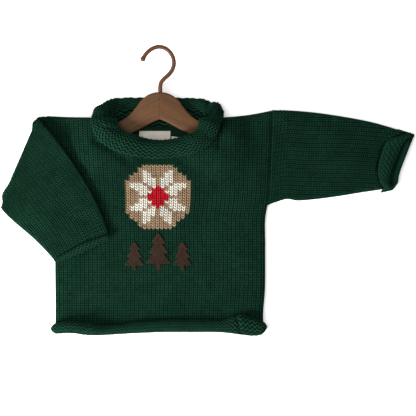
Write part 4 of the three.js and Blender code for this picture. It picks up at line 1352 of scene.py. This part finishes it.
def felt_material(name, hex_colour, nap, roughness):
    """A matted fibre surface: two noises mottle the colour and raise the nap."""
    material, tree = new_material(name)
    place = add_node(tree, "ShaderNodeTexCoord")
    fibres = add_node(
        tree,
        "ShaderNodeTexNoise",
        {"Vector": place.outputs["Object"], "Scale": 1 / nap, "Detail": 4.0, "Roughness": 0.7},
    )
    patches = add_node(
        tree,
        "ShaderNodeTexNoise",
        {"Vector": place.outputs["Object"], "Scale": 0.2 / nap, "Detail": 2.0},
    )
    both = add_node(
        tree, "ShaderNodeMath", {0: fibres.outputs["Fac"], 1: patches.outputs["Fac"]}, operation="ADD"
    )
    shade = add_node(
        tree,
        "ShaderNodeMapRange",
        {"Value": both.outputs[0], "From Min": 0.7, "From Max": 1.3, "To Min": 0.6, "To Max": 1.5},
    )
    tint = add_node(
        tree,
        "ShaderNodeVectorMath",
        {0: tuple(linear(hex_colour)), "Scale": shade.outputs[0]},
        operation="SCALE",
    )
    bump = add_node(
        tree,
        "ShaderNodeBump",
        {"Strength": 0.7, "Distance": 0.0003, "Height": fibres.outputs["Fac"]},
    )
    surface = add_node(
        tree,
        "ShaderNodeBsdfPrincipled",
        {
            "Base Color": tint.outputs[0],
            "Roughness": roughness,
            "Specular IOR Level": 0.1,
            "Sheen Weight": 0.05,
            "Normal": bump.outputs[0],
        },
    )
    add_node(tree, "ShaderNodeOutputMaterial", {"Surface": surface.outputs[0]})
    return material


wool_felt = felt_material("pressed wool felt, dark brown", "#241710", NAP_SIZE, 0.95)
sewing_thread = felt_material("cotton sewing thread, brown", "#38261d", THREAD_SIZE, 0.8)
print("felt and thread:", wool_felt.name, "/", sewing_thread.name)

# %% Sizes of the trees
FELT = 1.2
FELT_EDGE, FELT_EDGE_SHARE = 0.8, 0.35
FELT_SUNK = 0.1
TREE_TIERS = {
    "up": [0, 0.16, 0.185, 0.2, 0.44, 0.462, 0.478, 0.7, 0.72, 0.734, 0.985, 1],
    "half": [0.085, 0.09, 0.46, 0.47, 0.2, 0.37, 0.375, 0.14, 0.27, 0.275, 0.03, 0.012],
}
TREES = {
    "name": ["felt_tree_left", "felt_tree_middle", "felt_tree_right"],
    "x": [-34, -2, 30],
    "foot": [84, 84, 84],
    "width": [27, 34, 27],
    "height": [38, 50, 38],
}
TREE_ROWS = 96
TREE_COLUMNS = 21
TREE_STEP = (5, 4)
CLOTH_TOP = KNIT_BASE + KNIT_RELIEF * 0.7
print("felt lies", CLOTH_TOP, "mm above the middle of the knitted wall")


# %% Cut felt
def tree_faces(x, foot, width, height):
    """Felt on the front: its outline from the tiers, its face domed down to the cloth along the
    edge, and its back on the tops of the stitches."""
    up = np.linspace(0, 1, TREE_ROWS)[:, None]
    half = np.interp(up, TREE_TIERS["up"], TREE_TIERS["half"]) * width
    share = np.sin(np.linspace(-1, 1, TREE_COLUMNS) * np.pi / 2)[None, :]
    px = x + share * half
    py = np.broadcast_to(foot + up * height, px.shape)
    edge = np.minimum((1 - np.abs(share)) * half, np.minimum(up, 1 - up) * height)
    rounded = np.sqrt(1 - (1 - np.clip(edge / FELT_EDGE, 0, 1)) ** 2)
    cloth = front_height(px, py) + CLOTH_TOP
    top = np.stack([px, py, cloth + FELT * mix(FELT_EDGE_SHARE, 1, rounded)], -1)
    under = np.stack([px, py, cloth - FELT_SUNK], -1)[:: TREE_STEP[0], :: TREE_STEP[1]]
    return cloth_face(top, np.stack([px, py], -1)), cloth_face(under, (0, 0))


print("tree points, rows by columns:", TREE_ROWS, "by", TREE_COLUMNS)

# %% Sewing stitches
STITCHES_A_SIDE = 11
STITCH_HALF, STITCH_RADIUS = 1.3, 0.45
STITCH_PROFILE = {
    "along": [-1, -0.9, -0.5, 0, 0.5, 0.9, 1],
    "girth": [0.15, 0.6, 1, 1.05, 1, 0.6, 0.15],
}
STITCH_BEND = 1.6
STITCH_SIDES = 6
SEWN_FROM, SEWN_TO = 0.2, 0.92
SEWN_INSET, SEWN_LEAST = 2.2, 0.8
TIER_RISE, TIER_RUN = 0.28, 0.3
UP = np.array([0, 0, 1.0])


def stitch_rings(centre, direction):
    """Short tubes with tapered ends that bend down into the cloth by a cube of the distance, one
    for each centre and direction."""
    along, girth = (np.array(values) for values in STITCH_PROFILE.values())
    around = np.linspace(0, 2 * np.pi, STITCH_SIDES + 1)
    sideways = np.stack([-direction[:, 1], direction[:, 0], 0 * direction[:, 0]], -1)
    spine = centre[:, None] + direction[:, None] * (along * STITCH_HALF)[None, :, None]
    spine = spine - UP * (np.abs(along) ** 3 * STITCH_RADIUS * STITCH_BEND)[None, :, None]
    ring = sideways[:, None, None] * np.cos(around)[None, None, :, None]
    ring = ring + UP * np.sin(around)[None, None, :, None]
    return spine[:, :, None] + ring * (girth * STITCH_RADIUS)[None, :, None, None]


def sewing_rings(x, foot, width, height):
    """Stitches inside both edges of a tree, which lean as its tiers do."""
    up = np.linspace(SEWN_FROM, SEWN_TO, STITCHES_A_SIDE)
    half = np.interp(up, TREE_TIERS["up"], TREE_TIERS["half"]) * width - SEWN_INSET
    up, half = up[half > SEWN_LEAST], half[half > SEWN_LEAST]
    px, py = np.r_[x - half, x + half], foot + np.r_[up, up] * height
    lean = np.arctan2(height * TIER_RISE, width * TIER_RUN)
    angle = np.r_[np.full(len(up), lean), np.full(len(up), np.pi - lean)]
    direction = np.stack([np.cos(angle), np.sin(angle), 0 * angle], -1)
    centre = np.stack([px, py, front_height(px, py) + CLOTH_TOP + FELT], -1)
    return stitch_rings(centre, direction)


sizes = [values[0] for values in TREES.values()][1:]
print("stitches on the first tree:", len(sewing_rings(*sizes)))


# %% Closed tubes
def fan(ring, end):
    """A triangle from each edge of a ring to one point."""
    return np.stack([ring[:-1], ring[1:], np.full(len(ring) - 1, end)], -1)


def tube_mesh(name, rings, materials):
    """Closed tubes, one for each first index: rings of points that close on themselves, and a
    fan over each end. The last point of a ring repeats its first."""
    tubes, rows, columns = rings.shape[:3]
    grid = np.arange(rows * columns).reshape(rows, columns)
    ends = rows * columns + np.arange(2)
    triangles = np.concatenate([cells(grid), fan(grid[0, ::-1], ends[0]), fan(grid[-1], ends[1])])
    caps = np.stack([rings[:, 0, :-1].mean(1), rings[:, -1, :-1].mean(1)], 1)
    points = np.concatenate([rings.reshape(tubes, -1, 3), caps], 1)
    same = np.arange(points.shape[1])
    same[grid[:, -1]] = grid[:, 0]
    a, b, c = (points[0][triangles[:, k]] for k in range(3))
    if np.sum(a * np.cross(b, c)) < 0:
        triangles = triangles[:, ::-1]
    shift = (np.arange(tubes) * points.shape[1])[:, None]
    every = points.shape[0] * points.shape[1]
    whole = {
        "points": points.reshape(-1, 3),
        "stitch": np.zeros((every, 2)),
        "loft": np.full((every, 1), PLAIN_LOFT),
        "yarn": np.broadcast_to(linear(GREEN), (every, 3)),
        "triangles": (triangles[None] + shift[..., None]).reshape(-1, 3),
        "same": (same[None] + shift).ravel(),
        "material": np.zeros(tubes * len(triangles), np.int32),
    }
    return mesh_piece(name, [whole], materials)


end_fan = fan(np.arange(STITCH_SIDES + 1), 0)
print("end of a stitch:", len(end_fan), "triangles")

for name, *sizes in zip(*TREES.values()):
    width, height = sizes[2:]
    felt = mesh_piece("cut_" + name, [wall(*tree_faces(*sizes))], [wool_felt] * 2)
    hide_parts(name)
    sewing = tube_mesh("sewing_" + name, sewing_rings(*sizes), [sewing_thread])

# %% [markdown]
# ## Tape labels
#
# The neck label and the small tab beside it are woven satin tape. They are left blank. Tape is
# half a millimetre thick, its ends are folded under, and it lifts a little between its seams. A
# flat box would catch the light evenly, which cloth never does.

# %% Satin tape
TAPE_THREAD = 0.0006
# A wave texture of this scale has one band to two threads.
THREAD_BANDS = 0.16
SOIL_SIZE = 1 / 120


def tape_material(name, hex_colour):
    """Woven satin tape: fine threads across it in one direction, with a soft gloss."""
    material, tree = new_material(name)
    place = add_node(tree, "ShaderNodeTexCoord")
    threads = add_node(
        tree,
        "ShaderNodeTexWave",
        {"Vector": place.outputs["Object"], "Scale": THREAD_BANDS / TAPE_THREAD, "Distortion": 0.4},
        bands_direction="Y",
    )
    soil = add_node(
        tree,
        "ShaderNodeTexNoise",
        {"Vector": place.outputs["Object"], "Scale": 1 / SOIL_SIZE, "Detail": 3.0},
    )
    tint = add_node(
        tree,
        "ShaderNodeMix",
        {0: soil.outputs["Fac"], 6: rgba(hex_colour), 7: rgba("#b8ae9f")},
        data_type="RGBA",
    )
    bump = add_node(
        tree, "ShaderNodeBump", {"Strength": 0.3, "Distance": 0.0001, "Height": threads.outputs["Fac"]}
    )
    surface = add_node(
        tree,
        "ShaderNodeBsdfPrincipled",
        {
            "Base Color": tint.outputs[2],
            "Roughness": 0.45,
            "Specular IOR Level": 0.35,
            "Sheen Weight": 0.2,
            "Normal": bump.outputs[0],
        },
    )
    add_node(tree, "ShaderNodeOutputMaterial", {"Surface": surface.outputs[0]})
    return material


satin_tape = tape_material("woven satin tape, white", "#cdc7be")
print("tape material:", satin_tape.name)

# %% Sizes of the tapes
TAPES = {
    "name": ["neck_label", "size_tab"],
    "x": [-7, 21.6],
    "y": [259.6, 256.6],
    "width": [42, 13],
    "height": [20, 12],
    "rise": [0.5, 0.3],
    "slope": [0, -0.14],
}
TAPE_THICKNESS = 0.5
TAPE_FOLD, TAPE_FOLD_RUN = 3.0, 0.8
FOLD_LIFT = 0.25
HOLLOW_SHARE = 0.6
TAPE_EDGE = 0.5
TAPE_COLUMNS, TAPE_ROWS = 43, 17
TAPE_STEP = (4, 6)
TAPE_REST = WALL + SEAM_GAP / 2
print("tapes rest", TAPE_REST, "mm up")


# %% Folded tape
def tape_faces(x, y, width, height, rise, slope):
    """Tape with its short ends folded under: twice as thick there, rising in between as a half
    sine wave. It slopes in a straight line from its left end."""
    across = np.linspace(-0.5, 0.5, TAPE_COLUMNS)[None, :]
    along = np.linspace(-0.5, 0.5, TAPE_ROWS)[:, None]
    px, py = np.broadcast_arrays(x + across * width, y + along * height)
    py = py + slope * (across + 0.5) * width
    folded = smooth((np.abs(across) * width - width / 2 + TAPE_FOLD) / TAPE_FOLD_RUN)
    lift = rise * np.sin((along + 0.5) * np.pi) + FOLD_LIFT * folded
    edge = np.minimum((0.5 - np.abs(across)) * width, (0.5 - np.abs(along)) * height)
    top = TAPE_REST + lift + TAPE_THICKNESS * mix(0.5, 1, smooth(edge / TAPE_EDGE))
    outer = np.stack([px, py, top], -1)
    inner = np.stack([px, py, TAPE_REST + lift * HOLLOW_SHARE], -1)
    inner = inner[:: TAPE_STEP[0], :: TAPE_STEP[1]]
    return cloth_face(outer, (0, 0)), cloth_face(inner, (0, 0))


for name, *sizes in zip(*TAPES.values()):
    tape = mesh_piece("satin_" + name, [wall(*tape_faces(*sizes))], [satin_tape] * 2)
    width, height = sizes[2:4]
    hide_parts(name)

# %% [markdown]
# ## The wooden hanger
#
# The hanger is two pieces of walnut, glued in a mitre in the middle, sanded round and waxed. Each
# arm is a rounded rectangle carried outwards between its lower and upper outline. The grain runs
# along each arm, so it meets in a chevron at the mitre. A box with a Bevel modifier would also be
# rounded, but it would not get thinner towards its tip.

# %% Waxed walnut
GRAIN_WIDTH = 0.0016
GRAINS, PORES = 0.45, 3.2


def walnut_material(name, angle):
    """Waxed walnut: noise stretched along the arm, turned to its slope, over a warm brown."""
    material, tree = new_material(name)
    place = add_node(tree, "ShaderNodeTexCoord")
    turned = add_node(
        tree,
        "ShaderNodeMapping",
        {"Vector": place.outputs["Object"], "Rotation": (0, 0, angle)},
    )
    stretched = add_node(
        tree, "ShaderNodeMapping", {"Vector": turned.outputs[0], "Scale": (0.05, 1, 0.4)}
    )
    grain = add_node(
        tree,
        "ShaderNodeTexNoise",
        {"Vector": stretched.outputs[0], "Scale": GRAINS / GRAIN_WIDTH, "Detail": 6.0, "Roughness": 0.65},
    )
    pores = add_node(
        tree,
        "ShaderNodeTexNoise",
        {"Vector": stretched.outputs[0], "Scale": PORES / GRAIN_WIDTH, "Detail": 2.0},
    )
    ramp = add_node(tree, "ShaderNodeValToRGB", {"Fac": grain.outputs["Fac"]})
    stops = ((0.32, "#452c15"), (0.66, "#54361c"))
    for element, (position, hex_colour) in zip(ramp.color_ramp.elements, stops):
        element.position = position
        element.color = rgba(hex_colour)
    dark = add_node(
        tree,
        "ShaderNodeMapRange",
        {"Value": pores.outputs["Fac"], "From Min": 0.25, "From Max": 0.5, "To Min": 0.7, "To Max": 1.0},
    )
    tint = add_node(
        tree,
        "ShaderNodeVectorMath",
        {0: ramp.outputs["Color"], "Scale": dark.outputs[0]},
        operation="SCALE",
    )
    bump = add_node(
        tree, "ShaderNodeBump", {"Strength": 0.25, "Distance": 0.0002, "Height": pores.outputs["Fac"]}
    )
    surface = add_node(
        tree,
        "ShaderNodeBsdfPrincipled",
        {
            "Base Color": tint.outputs[0],
            "Roughness": 0.6,
            "Specular IOR Level": 0.2,
            "Normal": bump.outputs[0],
        },
    )
    add_node(tree, "ShaderNodeOutputMaterial", {"Surface": surface.outputs[0]})
    return material


print("grain:", GRAIN_WIDTH / MESH_TO_METRES, "mm wide")

# %% Outline of an arm
HANGER_TOP = {
    "x": [0, 8, 17, 24.5, 31, 38.5, 49, 62, 83, 89, 92],
    "y": [320.6, 319.8, 316.2, 310, 301.6, 292.6, 284.4, 278.1, 267.4, 260.4, 250],
}
HANGER_LOW = {
    "x": [0, 6, 30, 60, 82, 88, 92],
    "y": [284.4, 282.4, 269.7, 254.4, 243.2, 241.2, 248.6],
}
EDGE_ROUND, ROUND_SHARE = 2.6, 0.9
LEAST_HALF = 0.3
MITRE_GAP = 0.04
CHAMFER, CHAMFER_TO = 0.06, 0.24
TIP_FROM, TIP_RUN, TIP_LEAST = 82, 10.2, 0.02
CORNER_POINTS = 7
# The steps along an arm lie closer together at the mitre and at the tip.
ARM_STEPS = np.r_[MITRE_GAP, MITRE_GAP + 0.3, np.linspace(1.5, 84, 56), np.linspace(85, 91.9, 12)]
print("steps along an arm:", len(ARM_STEPS))


# %% Hanger arms
def arm_rings(side):
    """Rounded rectangles at steps along x: four corner arcs, each a quarter of a circle, about
    the corners of a smaller rectangle."""
    x = ARM_STEPS
    top, low = column(HANGER_TOP, "x", "y", x), column(HANGER_LOW, "x", "y", x)
    middle = (top + low) / 2
    chamfer = np.where(x < CHAMFER_TO, CHAMFER, 0)
    half = np.maximum((top - low) / 2, LEAST_HALF) - chamfer
    tip = np.sqrt(np.clip(1 - np.clip((x - TIP_FROM) / TIP_RUN, 0, 1) ** 3, TIP_LEAST, 1))
    thick = hanger_thickness(x) * tip / 2 - chamfer
    round_off = np.minimum(EDGE_ROUND, ROUND_SHARE * np.minimum(half, thick))
    quarter = np.linspace(0, np.pi / 2, CORNER_POINTS)
    angle = np.concatenate([quarter + k * np.pi / 2 for k in range(4)])
    cy = np.repeat([1, -1, -1, 1], CORNER_POINTS)
    cz = np.repeat([1, 1, -1, -1], CORNER_POINTS)
    y = middle[:, None] + (half - round_off)[:, None] * cy + round_off[:, None] * np.cos(angle)
    centre = (hanger_bottom(middle) + hanger_thickness(x) / 2)[:, None]
    z = centre + (thick - round_off)[:, None] * cz + round_off[:, None] * np.sin(angle)
    z = z + HANGER_TILT * (y - middle[:, None])
    rings = np.stack([np.broadcast_to(side * x[:, None], y.shape), y, z], -1)
    return np.concatenate([rings, rings[:, :1]], 1)[None]


for name, side in (("left", -1), ("right", 1)):
    walnut = walnut_material(f"waxed walnut, {name} arm", side * HANGER_SLOPE)
    arm = tube_mesh(f"walnut_arm_{name}", arm_rings(side), [walnut])
    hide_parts(f"hanger_arm_{name}")

# %% [markdown]
# ## The wire hook
#
# The hook is steel wire under a satin bronze paint. It is a circle carried along a smooth curve
# through measured points, and it ends in a ball. The last point only leads the curve. A curve
# object with a bevel would give the same wire, but not the ball in the same closed skin.

# %% Bronze-painted wire
PAINT_PATCH = 1 / 260


def wire_material(name):
    """Satin bronze-brown paint: a binder with pigment, with patches of colour and roughness."""
    material, tree = new_material(name)
    place = add_node(tree, "ShaderNodeTexCoord")
    patches = add_node(
        tree,
        "ShaderNodeTexNoise",
        {"Vector": place.outputs["Object"], "Scale": 1 / PAINT_PATCH, "Detail": 4.0},
    )
    tint = add_node(
        tree,
        "ShaderNodeMix",
        {0: patches.outputs["Fac"], 6: rgba("#452711"), 7: rgba("#563319")},
        data_type="RGBA",
    )
    rough = add_node(
        tree,
        "ShaderNodeMapRange",
        {"Value": patches.outputs["Fac"], "To Min": 0.4, "To Max": 0.6},
    )
    surface = add_node(
        tree,
        "ShaderNodeBsdfPrincipled",
        {"Base Color": tint.outputs[2], "Roughness": rough.outputs[0], "Specular IOR Level": 0.25},
    )
    add_node(tree, "ShaderNodeOutputMaterial", {"Surface": surface.outputs[0]})
    return material


bronze_paint = wire_material("satin bronze-painted steel wire")
print("hook material:", bronze_paint.name)

# %% The course of the wire
HOOK = {
    "x": [0.6, 0.6, 0.5, 1.6, 5.6, 11.6, 17, 18.8, 16.2, 9, -0.8, -10.6, -18.6, -23.8, -27],
    "y": [
        317, 321.2, 327, 333.2, 338.4, 343.8, 351.4, 360,
        369.6, 377.6, 380.6, 377.8, 370.8, 361.4, 352,
    ],
}
HOOK_RADIUS = 2.8
TIP_RADIUS = 3.6
HOOK_SIDES = 16
WIRE_STEPS, BALL_STEPS = 100, 14
BALL_FROM, BALL_LEAST = -0.6, 0.02

chord = np.hypot(np.diff(HOOK["x"]), np.diff(HOOK["y"]))
hook_table = {"along": np.r_[0, np.cumsum(chord)], **HOOK}
length = hook_table["along"][-2]
ball_middle = length - TIP_RADIUS
in_ball = TIP_RADIUS * np.sin(np.linspace(BALL_FROM, np.pi / 2, BALL_STEPS))
along = np.r_[np.linspace(0, ball_middle + in_ball[0], WIRE_STEPS)[:-1], ball_middle + in_ball]
px, py = column(hook_table, "along", "x", along), column(hook_table, "along", "y", along)
path = np.stack([px, py, hanger_bottom(py) + HANGER_THICKNESS / 2], -1)
print("hook wire:", round(float(length)), "mm long")

# %% The wire hook
ahead = np.gradient(path, along, axis=0)
ahead /= np.linalg.norm(ahead, axis=1, keepdims=True)
sideways = np.cross(UP, ahead)
sideways /= np.linalg.norm(sideways, axis=1, keepdims=True)
upwards = np.cross(ahead, sideways)
ball = np.sqrt(np.maximum(TIP_RADIUS**2 - (along - ball_middle) ** 2, BALL_LEAST))
girth = np.where(along < ball_middle, np.maximum(ball, HOOK_RADIUS), ball)
angle = np.linspace(0, 2 * np.pi, HOOK_SIDES + 1)
rings = path[:, None] + girth[:, None, None] * (
    sideways[:, None] * np.cos(angle)[None, :, None] + upwards[:, None] * np.sin(angle)[None, :, None]
)
hook = tube_mesh("wire_hook", rings[None], [bronze_paint])
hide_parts("hanger_hook")

# %% [markdown]
# ## Floor, light and camera
#
# The sweater lies on a white table that glows a little, as a light table does, so that its
# shadows on it stay pale. A lamp low on the left gives the stitches their shadows, and a larger
# one above and an even surround fill them. The camera looks straight down from 2.6 metres, which
# is far enough to show the rolls without leaning them outwards.

# %% The matt white table
floor_material, tree = new_material("matt white table")
surface = add_node(
    tree,
    "ShaderNodeBsdfPrincipled",
    {
        "Base Color": (0.96, 0.96, 0.96, 1),
        "Roughness": 0.9,
        "Specular IOR Level": 0.1,
        "Emission Color": (1, 1, 1, 1),
        "Emission Strength": 0.35,
    },
)
add_node(tree, "ShaderNodeOutputMaterial", {"Surface": surface.outputs[0]})
print("table material:", floor_material.name)

# %% The table top
FLOOR_HALF = 3.0
# The lowest stitch reaches this far below the frame's zero.
FLOOR_DROP = 0.0004

corners = np.array([(-1, -1), (1, -1), (1, 1), (-1, 1)]) * FLOOR_HALF
floor_mesh = bpy.data.meshes.new("table_top")
floor_mesh.from_pydata([(x, y, -FLOOR_DROP) for x, y in corners], [], [(0, 1, 2, 3)])
floor_mesh.materials.append(floor_material)
floor = bpy.data.objects.new("table_top", floor_mesh)
bpy.context.scene.collection.objects.link(floor)
print("table:", 2 * FLOOR_HALF, "metres square")

# %% Soft surround
world = bpy.data.worlds.new("soft surround")
world.use_nodes = True
world.node_tree.nodes.clear()
surround = add_node(world.node_tree, "ShaderNodeBackground", {"Color": (1, 1, 1, 1), "Strength": 0.5})
add_node(world.node_tree, "ShaderNodeOutputWorld", {"Surface": surround.outputs[0]})
bpy.context.scene.world = world
print("surround:", world.name)

# %% Lamps
LAMPS = {
    "name": ["window light", "lamp above"],
    "place": [(-0.85, -0.72, 0.66), (-0.5, 0.1, 1.2)],
    "size": [0.35, 1.0],
    "power": [34, 9],
}


def soft_lamp(name, place, size, power):
    """A square lamp at a place, turned to face the middle of the garment."""
    data = bpy.data.lights.new(name, "AREA")
    data.size = size
    data.energy = power
    lamp = bpy.data.objects.new(name, data)
    bpy.context.scene.collection.objects.link(lamp)
    lamp.location = place
    x, y, z = place
    lamp.rotation_euler = (math.atan2(math.hypot(x, y), z), 0, math.atan2(x, -y))
    return lamp


for row in zip(*LAMPS.values()):
    print("lamp:", soft_lamp(*row).name)

# %% Camera
VIEW_X, VIEW_Y, VIEW_Z = 64.0, 166.7, 6.0
VIEW_WIDTH = 554.7
VIEW_DISTANCE = 2600.0

camera_data = bpy.data.cameras.new("camera")
camera_data.angle = 2 * math.atan(VIEW_WIDTH / 2 / VIEW_DISTANCE)
camera = bpy.data.objects.new("camera", camera_data)
bpy.context.scene.collection.objects.link(camera)
camera.location = (np.array([VIEW_X, VIEW_Y, VIEW_Z + VIEW_DISTANCE]) + OFFSET) * MESH_TO_METRES
bpy.context.scene.camera = camera
bpy.context.scene.view_settings.view_transform = "Standard"
print("camera:", tuple(round(value, 3) for value in camera.location), "metres")
